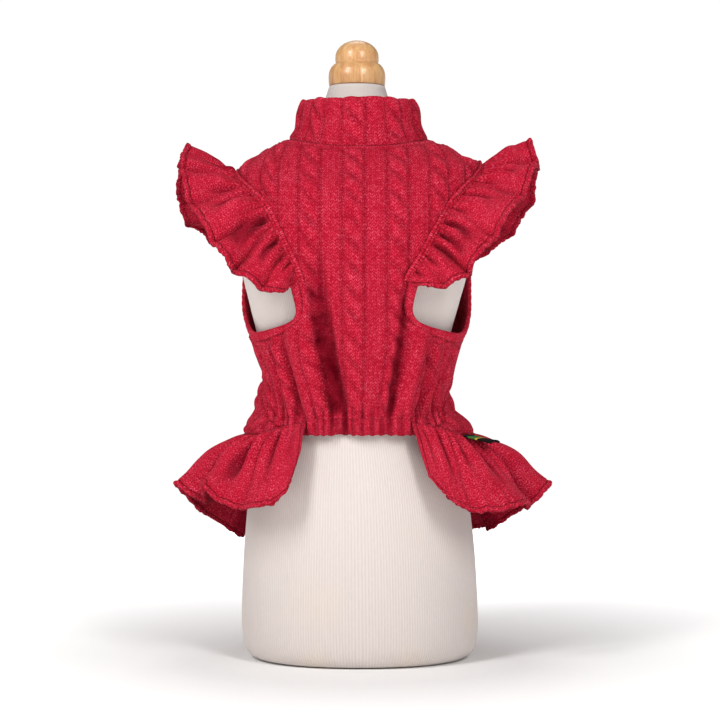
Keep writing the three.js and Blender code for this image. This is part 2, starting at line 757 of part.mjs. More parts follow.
// Closed curve of the armhole on the dress, with its frame: 'inward' lies in the cloth and
// points into the hole
const [leftArmhole, rightArmhole] = ['left', 'right'].map((name) => new THREE.CatmullRomCurve3(
  armholeOutline.map((row) => new THREE.Vector3(0, -row[`${name}Forward`], row[`${name}Height`])),
  true,
  'centripetal',
));

function armholeFrame(side, at) {
  const curve = side > 0 ? rightArmhole : leftArmhole;
  const here = curve.getPoint(((at % 1) + 1) % 1);
  const ahead = curve.getPoint((at + 0.004) % 1);
  const { point, normal } = sidePoint(side, -here.y, here.z);
  const next = sidePoint(side, -ahead.y, ahead.z).point;
  const tangent = next.sub(point).normalize();
  const inward = new THREE.Vector3().crossVectors(tangent, normal).normalize().multiplyScalar(side);
  return { point, normal, inward };
}

// Solid that cuts an armhole: thick at its rim, and domed outward to clear the cloth
const plug = { steps: 52, halfDepth: 7, inwardDome: 10, outwardDome: 40 };

function armholePlug(side) {
  const loops = [[], []];
  for (let step = 0; step < plug.steps; step += 1) {
    const { point, normal } = armholeFrame(side, step / plug.steps);
    loops[0].push(point.clone().addScaledVector(normal, -plug.halfDepth));
    loops[1].push(point.clone().addScaledVector(normal, plug.halfDepth));
  }
  const geometry = stackGeometry(loops);
  const positions = geometry.attributes.position;
  const [innerMiddle, outerMiddle] = [positions.count - 2, positions.count - 1];
  positions.setX(innerMiddle, positions.getX(innerMiddle) - side * plug.inwardDome);
  positions.setX(outerMiddle, positions.getX(outerMiddle) + side * plug.outwardDome);
  return toSolid(geometry);
}

// Half of space in front of the side and shoulder seams, or behind them
const seamRoom = { reach: 160, top: 420, armhole: 300, bottom: 60 };

function seamPrism(front) {
  const { reach, top, armhole, bottom } = seamRoom;
  const shift = front ? 0 : seamGap;
  const outline = new THREE.Shape();
  const edge = front ? reach : -reach;
  outline.moveTo(edge, top);
  outline.lineTo(-shift, top);
  outline.lineTo(-shift, armhole);
  for (const row of sideSeam) {
    outline.lineTo(row.forward - shift, row.height - shift * Math.SQRT1_2);
  }
  outline.lineTo(sideSeam.at(-1).forward - shift, bottom);
  outline.lineTo(edge, bottom);
  const geometry = new THREE.ExtrudeGeometry(outline, { depth: 2 * reach, bevelEnabled: false });
  geometry.translate(0, 0, -reach);
  // The shape's x runs forward (-Y), its y up (Z), and the depth across (X)
  const turn = new THREE.Matrix4().set(0, 0, -1, 0, -1, 0, 0, 0, 0, 1, 0, 0, 0, 0, 0, 1);
  geometry.applyMatrix4(turn);
  return toSolid(geometry);
}

const armholePlugs = [armholePlug(-1), armholePlug(1)];
const frontPrism = seamPrism(true);
const backPrism = seamPrism(false);

// Plain inside of the belly: the same folds, without the knit
function bellyInside(key) {
  return bellyRing(key, knitSteps, (across) => (
    foldRise(bellyFolds, across * bellySqueeze(key), key) - clothThickness));
}

function bellyPanelGeometry() {
  const start = casingTop + seamGap + seamEase;
  const rings = rowKeys(start, dressTop, 0, knit.rowHeight).map((key, row) => bellyRing(
    key,
    knitSteps,
    (across) => knitRise(across + belly.origin, row * knit.rowHeight)
      + foldRise(bellyFolds, across * bellySqueeze(key), key),
  ));
  const second = start + knit.rowHeight;
  const insideKeys = [start, second, ...ringKeys.filter((key) => key > second + seamEase)];
  let cloth = toSolid(stackGeometry(rings))
    .subtract(hollow(insideKeys.map(bellyInside)))
    .intersect(frontPrism);
  for (const armhole of armholePlugs) {
    cloth = cloth.subtract(armhole);
  }
  return fromSolid(cloth);
}

function backPanelGeometry() {
  const rings = rowKeys(dressBottom, dressTop, Math.PI, knit.rowHeight).map((key, row) => backRing(
    key,
    knitSteps,
    (across) => knitRise(across + back.origin, row * knit.rowHeight) + foldRise(backFolds, across, key),
  ));
  const inside = ringKeys.map((key) => backRing(
    key,
    plainSteps,
    (across) => foldRise(backFolds, across, key) - clothThickness,
  ));
  let cloth = toSolid(stackGeometry(rings))
    .subtract(hollow(inside))
    .intersect(backPrism);
  for (const armhole of armholePlugs) {
    cloth = cloth.subtract(armhole);
  }
  return fromSolid(cloth);
}

// Casing of the elastic, gathered, below the belly panel
function bellyHemGeometry() {
  const rings = [];
  for (let row = 0; row <= casing.rows; row += 1) {
    const key = THREE.MathUtils.lerp(dressBottom, casingTop, row / casing.rows);
    rings.push(bellyRing(key, knitSteps, (across) => {
      const swell = casing.swell * Math.sqrt(Math.sin((Math.PI * row) / casing.rows));
      const gather = Math.cos((2 * Math.PI * across * casing.gathers) / casing.cutWidth);
      return swell + casing.gatherDepth * gather + foldRise(bellyFolds, across * casing.squeeze, key);
    }));
  }
  const cloth = toSolid(stackGeometry(rings))
    .subtract(hollow([dressBottom, casingTop].map(bellyInside)))
    .intersect(frontPrism);
  return fromSolid(cloth);
}

// ---------------------------------------------------------------- collar

// Level ring at a share of the collar's height
function collarRing(share) {
  const ring = smoothRow(collarRings, 'rise', share * collarRings.at(-1).rise);
  return { ...ring, side: 0, front: 0, back: 0 };
}

function collarGeometry() {
  const width = collar.columns * knit.columnWidth;
  const bottom = bodyRing(dressTop);
  const sections = [];
  for (const across of columnPlaces(0, collar.columns - 1, 0, knitSteps).slice(0, -1)) {
    const angle = (2 * Math.PI * (across - collar.origin)) / width;
    const cosine = Math.cos(angle);
    const heightEnd = cosine > 0 ? collar.frontHeight : collar.backHeight;
    const height = THREE.MathUtils.lerp(collar.sideHeight, heightEnd, cosine * cosine);
    const seat = ringPoint(bottom, angle).z + seamGap + seamEase;
    const outside = [];
    const inside = [];
    for (let row = 0; row <= collar.rows; row += 1) {
      const share = row / collar.rows;
      const ring = collarRing(share);
      const rise = knitRise(across, share * height) * (1 - smoothStep(collar.rimStart, 1, share));
      outside.push(ringPoint(ring, angle, rise).setZ(seat + share * height));
      if (row % 3 === 0) {
        const lift = row === 0 ? collar.frontLift * Math.max(cosine, 0) : 0;
        inside.unshift(ringPoint(ring, angle, -collar.bothLayers).setZ(seat + share * height + lift));
      }
    }
    const rim = ringPoint(collarRing(1), angle, -collar.bothLayers / 2);
    rim.setZ(seat + height + collar.rimRadius);
    sections.push([...outside, rim, ...inside]);
  }
  return loopGeometry(sections);
}

// ---------------------------------------------------------------- ruffles

// How the cloth of a ruffle stands between its seam and its edge
const ruffleShape = {
  sCurve: 0.8, // share of the arch that bends back before the edge
  waveFullAt: 0.7, // share of the way out where the waves reach their full height
  slopeSteps: 3, // faces from a ridge to the next trough
  alongStep: 0.003,
  outStep: 0.01,
};

// Cloth of a ruffle: from its seam out to its edge, over an arch, with waves that grow
function ruffleGeometry(rootAt, reachAt, waves, rows) {
  const middle = (at, out) => {
    const inside = THREE.MathUtils.clamp(at, 0, 1);
    const { point, lift } = rootAt(inside);
    const ahead = rootAt(Math.min(inside + ruffleShape.alongStep, 1)).point;
    const behind = rootAt(Math.max(inside - ruffleShape.alongStep, 0)).point;
    const { reach, arch } = reachAt(inside);
    const up = new THREE.Vector3().crossVectors(ahead.sub(behind), reach).normalize();
    if (up.dot(lift) < 0) {
      up.negate();
    }
    const bend = Math.sin(Math.PI * out) + ruffleShape.sCurve * Math.sin(2 * Math.PI * out);
    return point.clone()
      .addScaledVector(reach, out)
      .addScaledVector(lift, arch * bend)
      .addScaledVector(up, waveRise(waves, inside) * smoothStep(0, ruffleShape.waveFullAt, out));
  };
  const { alongStep, outStep } = ruffleShape;
  const outer = [];
  const inner = [];
  for (const at of waveSteps(waves, ruffleShape.slopeSteps)) {
    const outerRow = [];
    const innerRow = [];
    for (let row = 0; row <= rows; row += 1) {
      const out = row / rows;
      const here = middle(at, out);
      const around = middle(at + alongStep, out).sub(middle(at - alongStep, out));
      const farther = middle(at, Math.min(out + outStep, 1));
      const outward = farther.sub(middle(at, Math.max(out - outStep, 0)));
      const normal = new THREE.Vector3().crossVectors(around, outward).normalize();
      outerRow.push(here.clone().addScaledVector(normal, clothThickness / 2));
      innerRow.push(here.clone().addScaledVector(normal, -clothThickness / 2));
    }
    outer.push(outerRow);
    inner.push(innerRow);
  }
  return wallGeometry(outer, inner);
}

function sleeveRuffleGeometry(side, reaches, waves) {
  const rootAt = (at) => {
    const { point, normal, inward } = armholeFrame(side, at * ruffleEnd);
    const root = point.clone()
      .addScaledVector(inward, sleeveRuffle.inset)
      .addScaledVector(normal, -sleeveRuffle.rootDepth);
    return { point: root, lift: normal };
  };
  const reachAt = (at) => {
    const row = smoothRow(reaches, 'at', at);
    return { reach: new THREE.Vector3(side * row.side, -row.forward, row.up), arch: row.lift };
  };
  return ruffleGeometry(rootAt, reachAt, waves, sleeveRuffle.rows);
}

function skirtGeometry() {
  const ring = bodyRing(dressBottom);
  const walks = walkRing(ring);
  const total = walks.right.at(-1);
  const corner = total - distanceAtAngle(walks, skirt.cornerAngle);
  const angleAt = (at) => backAngleAtDistance(walks, THREE.MathUtils.lerp(-corner, corner, at));
  const outwardAt = (at) => ringOutward(ring, angleAt(at));
  const rootAt = (at) => {
    const point = ringPoint(ring, angleAt(at), -clothThickness / 2);
    point.z -= skirt.drop;
    return { point, lift: outwardAt(at) };
  };
  const reachAt = (at) => {
    const row = smoothRow(skirtReach, 'at', at);
    const outward = outwardAt(at);
    const along = new THREE.Vector3(-outward.y, outward.x, 0);
    const reach = outward.multiplyScalar(row.out).addScaledVector(along, row.along);
    reach.z = -row.down;
    return { reach, arch: row.lift };
  };
  return ruffleGeometry(rootAt, reachAt, skirtWaves, skirt.rows);
}

// Turned band along the lower part of an armhole
function armholeBandGeometry(side) {
  const { width, above, below, gap, start, steps } = armholeBand;
  const rings = [];
  for (let step = 0; step <= steps; step += 1) {
    const at = THREE.MathUtils.lerp(ruffleEnd + start, 1 - start, step / steps);
    const { point, normal, inward } = armholeFrame(side, at);
    rings.push(bandSection.map((row) => point.clone()
      .addScaledVector(inward, gap + row.inset * width)
      .addScaledVector(normal, row.above * above - row.below * below)));
  }
  return stackGeometry(rings);
}

// ---------------------------------------------------------------- label

function labelGeometry() {
  const ring = bodyRing(dressBottom);
  const root = ringPoint(ring, label.angle);
  const outward = ringOutward(ring, label.angle);
  const geometry = new THREE.BoxGeometry(label.length, label.width, label.thickness, 4, 2, 1);
  geometry.translate(label.length / 2 + knit.cableRise + 2 * seamGap, 0, 0);
  geometry.rotateY(label.droop);
  geometry.rotateZ(Math.atan2(outward.y, outward.x));
  geometry.translate(root.x, root.y, root.z - label.drop);
  return geometry;
}

// ---------------------------------------------------------------- dress form

function formTorsoGeometry() {
  const rings = formRings.map((row) => {
    const points = [];
    for (let index = 0; index < formSides; index += 1) {
      const angle = (2 * Math.PI * index) / formSides;
      const power = 2 / formRoundness;
      points.push(new THREE.Vector3(
        row.shift + row.half * signedPower(Math.sin(angle), power),
        -row.depth * signedPower(Math.cos(angle), power),
        row.height,
      ));
    }
    return points;
  });
  return stackGeometry(rings);
}

function finialGeometry() {
  const { seat, footRadius, bulgeRadius, bulgeHeight, grooveRadius, grooveHeight } = finial;
  const profile = [new THREE.Vector2(0, 0), new THREE.Vector2(footRadius, 0)];
  for (let step = 0; step <= finial.bulgeSteps; step += 1) {
    const turn = THREE.MathUtils.lerp(...finial.bulgeTurns, step / finial.bulgeSteps) * Math.PI;
    profile.push(new THREE.Vector2(
      grooveRadius + (bulgeRadius - grooveRadius) * Math.cos(turn),
      (bulgeHeight * (1 + Math.sin(turn))) / 2,
    ));
  }
  const neck = bulgeHeight + grooveHeight / 2;
  profile.push(new THREE.Vector2(grooveRadius - finial.grooveDepth, neck));
  const domeBase = neck + grooveHeight / 2;
  for (let step = 0; step < finial.domeSteps; step += 1) {
    const turn = THREE.MathUtils.lerp(...finial.domeTurns, step / finial.domeSteps) * Math.PI;
    const middle = finial.domeHeight * finial.domeMiddle;
    profile.push(new THREE.Vector2(
      finial.domeRadius * Math.cos(turn) ** finial.domeRoundness,
      domeBase + middle + (finial.domeHeight - middle) * Math.sin(turn),
    ));
  }
  profile.push(new THREE.Vector2(0, domeBase + finial.domeHeight));
  const geometry = new THREE.LatheGeometry(profile, finial.sides);
  geometry.rotateX(Math.PI / 2);
  geometry.translate(finial.shift, 0, seat);
  return geometry;
}

// ---------------------------------------------------------------- the part

const finishes = {
  knit: { color: 0xc3283f, roughness: 0.95 },
  jersey: { color: 0xdcd5d0, roughness: 0.9 },
  lacqueredWood: { color: 0xdca862, roughness: 0.25 },
  wovenLabel: { color: 0x1b1a18, roughness: 0.8 },
};
const part = new THREE.Group();

function addPiece(name, geometry, finish) {
  const material = new THREE.MeshStandardMaterial({ ...finish, metalness: 0 });
  const mesh = new THREE.Mesh(geometry, material);
  mesh.name = name;
  part.add(mesh);
}

addPiece('form_torso', formTorsoGeometry(), finishes.jersey);
addPiece('form_finial', finialGeometry(), finishes.lacqueredWood);
addPiece('belly_panel', bellyPanelGeometry(), finishes.knit);
addPiece('back_panel', backPanelGeometry(), finishes.knit);
addPiece('belly_hem', bellyHemGeometry(), finishes.knit);
addPiece('collar', collarGeometry(), finishes.knit);
addPiece('sleeve_ruffle_left', sleeveRuffleGeometry(-1, leftSleeveReach, leftSleeveWaves), finishes.knit);
addPiece('sleeve_ruffle_right', sleeveRuffleGeometry(1, rightSleeveReach, rightSleeveWaves), finishes.knit);
addPiece('armhole_band_left', armholeBandGeometry(-1), finishes.knit);
addPiece('armhole_band_right', armholeBandGeometry(1), finishes.knit);
addPiece('skirt_ruffle', skirtGeometry(), finishes.knit);
addPiece('label', labelGeometry(), finishes.wovenLabel);

export default part;
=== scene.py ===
import math

import bpy
import numpy as np
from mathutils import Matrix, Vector


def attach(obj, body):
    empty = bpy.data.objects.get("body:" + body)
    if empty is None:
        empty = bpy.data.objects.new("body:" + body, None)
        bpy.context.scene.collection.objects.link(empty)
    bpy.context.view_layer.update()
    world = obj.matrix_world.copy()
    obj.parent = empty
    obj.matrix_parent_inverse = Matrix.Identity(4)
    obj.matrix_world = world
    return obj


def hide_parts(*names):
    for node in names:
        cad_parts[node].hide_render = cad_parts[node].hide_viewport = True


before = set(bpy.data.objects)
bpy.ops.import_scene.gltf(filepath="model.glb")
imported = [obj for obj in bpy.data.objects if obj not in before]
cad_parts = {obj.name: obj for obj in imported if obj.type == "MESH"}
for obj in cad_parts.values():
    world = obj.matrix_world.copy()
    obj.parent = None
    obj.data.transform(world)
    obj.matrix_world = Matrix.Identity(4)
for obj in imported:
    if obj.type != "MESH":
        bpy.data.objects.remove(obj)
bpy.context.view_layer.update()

# Lengths in the tables are in millimetres. Each mesh is turned to metres when it is made.
# The belly of the dress faces -Y and its back +Y. On a ring, angle 0 is the belly's centre,
# +90 degrees the side at +X and 180 degrees the back's centre.
metre = 1000
print("frame loaded:", len(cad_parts), "nodes")


# Each column of a table at places between its rows, on a smooth curve through them
def smoothRows(table, places):
    names, data = table[0], np.array(table[1:], float)
    keys, places = data[:, 0], np.asarray(places, float)
    low = np.clip(np.searchsorted(keys, places) - 1, 0, len(keys) - 2)
    around = [np.maximum(low - 1, 0), low, low + 1, np.minimum(low + 2, len(keys) - 1)]
    before, start, end, after = (data[row] for row in around)
    key = [keys[row][..., None] for row in around]
    share = (places[..., None] - key[1]) / (key[2] - key[1])
    slopeIn = (end - before) / (key[2] - key[0])
    slopeOut = (after - start) / (key[3] - key[1])
    bend = (key[2] - key[1]) * share * (1 - share)
    value = start + (end - start) * share**2 * (3 - 2 * share)
    value = value + bend * (slopeIn * (1 - share) - slopeOut * share)
    result = {name: value[..., column] for column, name in enumerate(names)}
    result[names[0]] = places
    return result


def smoothStep(low, high, value):
    share = np.clip((value - low) / (high - low), 0, 1)
    return share * share * (3 - 2 * share)


def mix(start, end, share):
    return start + (end - start) * share


def unit(vectors):
    return vectors / np.maximum(np.linalg.norm(vectors, axis=-1, keepdims=True), 1e-9)


def signedPower(value, power):
    return np.sign(value) * np.abs(value) ** power


# 1 where the distance is 0, falling away softly on both sides
def bell(distance, width):
    return np.exp(-((distance / width) ** 2))


def walkedLength(points):
    steps = np.linalg.norm(np.diff(points, axis=0), axis=1)
    return np.concatenate([[0], np.cumsum(steps)])


# Soft noise along one direction: a sum of sines whose phases come from a fixed seed
def wobble(places, period, seed, parts=4):
    random = np.random.default_rng(seed)
    total = np.zeros_like(np.asarray(places, float))
    for _ in range(parts):
        turn = 2 * math.pi / (period * random.uniform(0.7, 1.45))
        total = total + np.sin(places * turn + random.uniform(0, 2 * math.pi))
    return total / math.sqrt(parts)


# What the materials read: places across and along the cloth, distance from its free edge,
# and the painted shade, from 0 on a ridge to 1 deep in a groove, where less light gets between fibres
def clothPlaces(across, along, fromEdge=100.0, hollow=0.0):
    return np.stack(np.broadcast_arrays(across, along, fromEdge, hollow), -1)


smallestCut = 0.03  # no cut comes nearer to a corner than this share of a quad's side


# Wall of cloth between two grids of points, kept where the field is above 0
def clothMesh(name, outer, inner, cloth, field=None, innerShade=0.0):
    rows, columns = outer.shape[:2]
    field = np.ones((rows, columns)) if field is None else field
    kept = field > 0
    index = np.full((rows, columns), -1)
    index[kept] = np.arange(kept.sum())
    grids = np.concatenate([outer, inner, cloth], axis=2)
    values = [grids[kept]]
    corners = [index[:-1, :-1], index[:-1, 1:], index[1:, 1:], index[1:, :-1]]
    quads = np.stack(corners, -1)
    whole = (quads >= 0).all(-1)
    faces = quads[whole].tolist()
    cuts = {}
    count = len(values[0])
    # Quads that the field's edge crosses are cut along it
    for row, column in zip(*np.nonzero((quads >= 0).any(-1) & ~whole)):
        walk = [(row, column), (row, column + 1), (row + 1, column + 1), (row + 1, column)]
        polygon = []
        for here, following in zip(walk, walk[1:] + walk[:1]):
            if kept[here]:
                polygon.append(int(index[here]))
            if kept[here] != kept[following]:
                start, end = sorted((here, following))
                if (start, end) not in cuts:
                    share = field[start] / (field[start] - field[end])
                    share = min(max(share, smallestCut), 1 - smallestCut)
                    values.append(mix(grids[start], grids[end], share)[None])
                    cuts[start, end] = count
                    count += 1
                polygon.append(cuts[start, end])
        if len(polygon) > 2:
            faces.append(polygon)
    values = np.concatenate(values)
    points = np.concatenate([values[:, :3], values[:, 3:6]]) / metre
    edges = [edge for face in faces for edge in zip(face, face[1:] + face[:1])]
    uses = set(edges)
    rim = [(start, end) for start, end in edges if (end, start) not in uses]
    allFaces = faces + [[corner + count for corner in reversed(face)] for face in faces]
    allFaces += [[end, start, start + count, end + count] for start, end in rim]
    facing = values[:, 6:]
    # The inner face gets extra painted shade
    return finishMesh(name, points, allFaces, np.concatenate([facing, facing + (0, 0, 0, innerShade)]))


# Surface through loops of points, each closed; its two ends are capped or joined
def loopMesh(name, loops, cloth, closed=False):
    rows, count = loops.shape[:2]
    index = np.arange(rows * count).reshape(rows, count)
    if closed:
        index = np.concatenate([index, index[:1]])
    following = np.roll(index, -1, axis=1)
    quads = np.stack([index[:-1], following[:-1], following[1:], index[1:]], -1)
    faces = quads.reshape(-1, 4).tolist()
    if not closed:
        faces += [index[0][::-1].tolist(), index[-1].tolist()]
    return finishMesh(name, loops.reshape(-1, 3) / metre, faces, cloth.reshape(-1, 4))


def finishMesh(name, points, faces, cloth):
    mesh = bpy.data.meshes.new(name)
    mesh.from_pydata(points.tolist(), [], faces)
    mesh.update()
    volume = sum(face.center.dot(face.normal) * face.area for face in mesh.polygons)
    if volume < 0:
        mesh.flip_normals()
    stored = mesh.attributes.new("cloth", "FLOAT_VECTOR", "POINT")
    stored.data.foreach_set("vector", (cloth[:, :3] / metre).astype(np.float32).ravel())
    # Painted shade, which the knit's material darkens its colour by
    shadeLayer = mesh.attributes.new("hollow", "FLOAT", "POINT")
    shadeLayer.data.foreach_set("value", np.clip(cloth[:, 3], 0, 1).astype(np.float32))
    mesh.polygons.foreach_set("use_smooth", [True] * len(mesh.polygons))
    piece = bpy.data.objects.new(name, mesh)
    bpy.context.scene.collection.objects.link(piece)
    print(f"{name}: {sum(len(face) - 2 for face in faces)} triangles")
    return piece


def gridNormals(points, centre=None):
    across = np.gradient(points, axis=1)
    along = np.gradient(points, axis=0)
    normals = unit(np.cross(across, along))
    if centre is not None:
        facing = ((points - centre) * normals).sum()
        normals = normals * (1 if facing > 0 else -1)
    return normals


def place(piece, node, slot, material, **sheet):
    piece.data.materials.append(material)
    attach(piece, "root")
    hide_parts(node)


# sRGB hex to the linear colour that Blender works in
def colour(hexValue):
    parts = [int(hexValue[at:at + 2], 16) / 255 for at in (1, 3, 5)]
    linear = [part / 12.92 if part <= 0.04045 else ((part + 0.055) / 1.055) ** 2.4 for part in parts]
    return (*linear, 1)


# Adds a node with its settings, inputs (values or sockets, in order or by name) and links
def addNode(tree, kind, *inputs, output=0, **settings):
    node = tree.nodes.new("ShaderNode" + kind)
    for name, value in settings.items():
        setattr(node, name, value)
    named = inputs[0] if inputs and isinstance(inputs[0], dict) else dict(enumerate(inputs))
    for key, value in named.items():
        if isinstance(value, bpy.types.NodeSocket):
            tree.links.new(value, node.inputs[key])
        else:
            node.inputs[key].default_value = value
    return node.outputs[output]


# Gives a ramp its stops: a place and a colour for each
def setStops(ramp, stops):
    elements = ramp.node.color_ramp.elements
    for element, (position, tone) in zip(elements, stops[:2]):
        element.position, element.color = position, tone
    for position, tone in stops[2:]:
        elements.new(position).color = tone


# Waves from -1 to 1 along a value, one for each pitch
def sineWaves(tree, value, pitch):
    turns = addNode(tree, "Math", value, 2 * math.pi / pitch, operation="MULTIPLY")
    return addNode(tree, "Math", turns, operation="SINE")


def startMaterial(name, **sockets):
    material = bpy.data.materials.new(name)
    material.use_nodes = True
    tree = material.node_tree
    shader = tree.nodes["Principled BSDF"]
    for key, value in sockets.items():
        shader.inputs[key.replace("_", " ")].default_value = value
    return material, tree


# Links colour and relief to a material's shader; relief is in units of the distance, in metres
def finishMaterial(material, base, relief, distance, strength):
    tree = material.node_tree
    shader = tree.nodes["Principled BSDF"]
    bump = addNode(tree, "Bump", {"Height": relief, "Distance": distance, "Strength": strength})
    tree.links.new(base, shader.inputs["Base Color"])
    tree.links.new(bump, shader.inputs["Normal"])
    return material


# Brushed acrylic knit, heathered: two shades of yarn and pale fibres that stand off its
# surface, so that it looks dry and soft, with painted shade in its grooves where little light gets in.
# Stitches are drawn a little coarser than the yarn's own gauge, so that they show
knitLook = {
    "yarn": "#b71d34",
    "paleYarn": "#dd5f76",
    "darkYarn": "#8e0b22",
    # Colour that painted shade darkens the yarn towards
    "shadowYarn": "#54000d",
    "sheen": "#f2a0ac",
    "shadeStops": (0.2, 0.52, 0.87),
    "walePitch": 3 / metre,
    "coursePitch": 2.1 / metre,
    "legSlope": 1.9,  # rows that a leg of a stitch rises over the width of its wale
    "stitchDepth": 0.0003,
    "stitchShade": 0.38,
    "patchesPerMetre": 70.0,  # about 14 mm each
    "patchShade": 0.25,
    "driftsPerMetre": 240.0,  # about 4 mm each
    "drift": 0.002,
    "fuzzPerMetre": 900.0,  # coarser than real fibres, which are too fine to show
    "fuzzDepth": 0.00008,
    "heatherSize": 1.9 / metre,
    "heatherShare": 0.62,
    "heatherDepth": 0.0001,
    # How dark the painted shade gets, and how unevenly
    "hollowShade": 0.8,
    "hollowUneven": 1.6,
    "edgeSeam": (2.6 / metre, 3.9 / metre),  # sewn line, from the free edge
    "seamDepth": 0.0006,
    "seamShade": 0.9,
    "overlockPitch": 1.9 / metre,
    "overlockDepth": 0.00022,
    "bumpStrength": 0.75,
}


def brushedKnit():
    look = knitLook
    material, tree = startMaterial(
        "brushedAcrylicKnit", Roughness=0.95, Sheen_Weight=0.08, Sheen_Roughness=0.4,
        Sheen_Tint=colour(look["sheen"]), Specular_IOR_Level=0.03)
    cloth = addNode(tree, "Attribute", output="Vector", attribute_name="cloth")
    hollow = addNode(tree, "Attribute", output="Fac", attribute_name="hollow")
    across, fromEdge = addNode(tree, "SeparateXYZ", cloth, output=slice(0, 3))[::2]
    patches = addNode(tree, "TexNoise", {
        "Vector": cloth, "Scale": look["patchesPerMetre"], "Detail": 3.0, "Roughness": 0.6})
    patches = addNode(tree, "Math", patches, 0.5, operation="SUBTRACT")
    # Brushing pulls the stitches about, so their rows aren't straight
    drift = addNode(tree, "TexNoise", {
        "Vector": cloth, "Scale": look["driftsPerMetre"], "Detail": 0.0}, output="Color")
    drift = addNode(tree, "VectorMath", drift, (0.5, 0.5, 0.5), operation="SUBTRACT")
    drift = addNode(tree, "VectorMath", {0: drift, 3: look["drift"]}, operation="SCALE")
    moved = addNode(tree, "VectorMath", cloth, drift, operation="ADD")
    wale, course = addNode(tree, "SeparateXYZ", moved, output=slice(0, 2))
    wale = addNode(tree, "Math", wale, look["walePitch"], operation="DIVIDE")
    course = addNode(tree, "Math", course, look["coursePitch"], operation="DIVIDE")
    # Each stitch is a V: its two legs slant away from the middle of the wale
    fromMiddle = addNode(tree, "Math", wale, operation="FRACT")
    fromMiddle = addNode(tree, "Math", fromMiddle, 0.5, operation="SUBTRACT")
    fromMiddle = addNode(tree, "Math", fromMiddle, operation="ABSOLUTE")
    slope = addNode(tree, "Math", fromMiddle, look["legSlope"], operation="MULTIPLY")
    leg = addNode(tree, "Math", course, slope, operation="SUBTRACT")
    leg = addNode(tree, "Math", sineWaves(tree, leg, 1), 0.5, 0.5, operation="MULTIPLY_ADD")
    crown = addNode(tree, "Math", sineWaves(tree, fromMiddle, 1), 0.45, 0.35, operation="MULTIPLY_ADD")
    stitch = addNode(tree, "Math", crown, leg, operation="MULTIPLY")
    # Pale and dark fibres of the heathered yarn, in specks and in wider patches
    heather = addNode(tree, "TexNoise", {
        "Vector": cloth, "Scale": 1 / look["heatherSize"], "Detail": 1.5, "Roughness": 0.7})
    share = look["heatherShare"]
    shade = addNode(tree, "Math", heather, share, (1 - share) / 2, operation="MULTIPLY_ADD")
    shade = addNode(tree, "Math", patches, look["patchShade"], shade, operation="MULTIPLY_ADD")
    lit = addNode(tree, "Math", stitch, 0.4, operation="SUBTRACT")
    shade = addNode(tree, "Math", lit, look["stitchShade"], shade, operation="MULTIPLY_ADD")
    ramp = addNode(tree, "ValToRGB", shade)
    tones = [colour(look[name]) for name in ("darkYarn", "yarn", "paleYarn")]
    setStops(ramp, list(zip(look["shadeStops"], tones)))
    # The sewn line inside the overlocked edge sinks into the cloth
    low, high = look["edgeSeam"]
    half = (low + high) / 2
    seamStart = addNode(tree, "MapRange", fromEdge, low, half)
    seamEnd = addNode(tree, "MapRange", fromEdge, half, high, 1.0, 0.0)
    seam = addNode(tree, "Math", seamStart, seamEnd, operation="MINIMUM")
    # Painted shade: the colour darkens towards the shadow yarn along the sewn line and where the mesh's
    # painted shade is high, unevenly in patches
    seamDark = addNode(tree, "Math", seam, look["seamShade"], operation="MULTIPLY")
    uneven = addNode(tree, "Math", patches, look["hollowUneven"], 1.0, operation="MULTIPLY_ADD")
    dark = addNode(tree, "Math", hollow, uneven, operation="MULTIPLY")
    dark = addNode(tree, "Math", dark, seamDark, operation="MAXIMUM")
    dark = addNode(tree, "Math", dark, look["hollowShade"], operation="MULTIPLY", use_clamp=True)
    mixed = {0: dark, 6: ramp, 7: colour(look["shadowYarn"])}
    base = addNode(tree, "Mix", mixed, output=2, data_type="RGBA")
    # Overlock stitches wrap the free edge in small slanting loops
    bead = addNode(tree, "MapRange", fromEdge, low * 0.8, low, 1.0, 0.0)
    wrap = addNode(tree, "Math", fromEdge, 0.5, across, operation="MULTIPLY_ADD")
    wrap = addNode(tree, "Math", sineWaves(tree, wrap, look["overlockPitch"]), bead, operation="MULTIPLY")
    fuzz = addNode(tree, "TexNoise", {
        "Vector": cloth, "Scale": look["fuzzPerMetre"], "Detail": 1.0, "Roughness": 0.6})
    height = addNode(tree, "Math", stitch, look["stitchDepth"], operation="MULTIPLY")
    for layer, depth in ((fuzz, look["fuzzDepth"]), (heather, look["heatherDepth"]),
                         (wrap, look["overlockDepth"]), (seam, -look["seamDepth"])):
        height = addNode(tree, "Math", layer, depth, height, operation="MULTIPLY_ADD")
    return finishMaterial(material, base, height, 1.0, look["bumpStrength"])


# Cotton jersey with fine upright ribs, stretched tight: matt, off-white, a little yellowed low down
jerseyLook = {
    "cloth": "#dbd1cc",
    "groove": "#c6bbb6",
    "age": "#ddc9a4",
    "ribPitch": 1.75 / metre,
    "ribShare": 0.55,
    "ribDepth": 0.00022,
    "yarnPerMetre": 900.0,  # about 1 mm, with flecks three times as long
    "yarnDepth": 0.00012,
    "blotchesPerMetre": 22.0,  # about 45 mm each
    "blotchRange": (0.52, 0.75),
    "agedHeights": (0.015, 0.11),  # metres, from fully aged to not at all
    "agedShare": 0.3,
    "bumpStrength": 0.6,
}


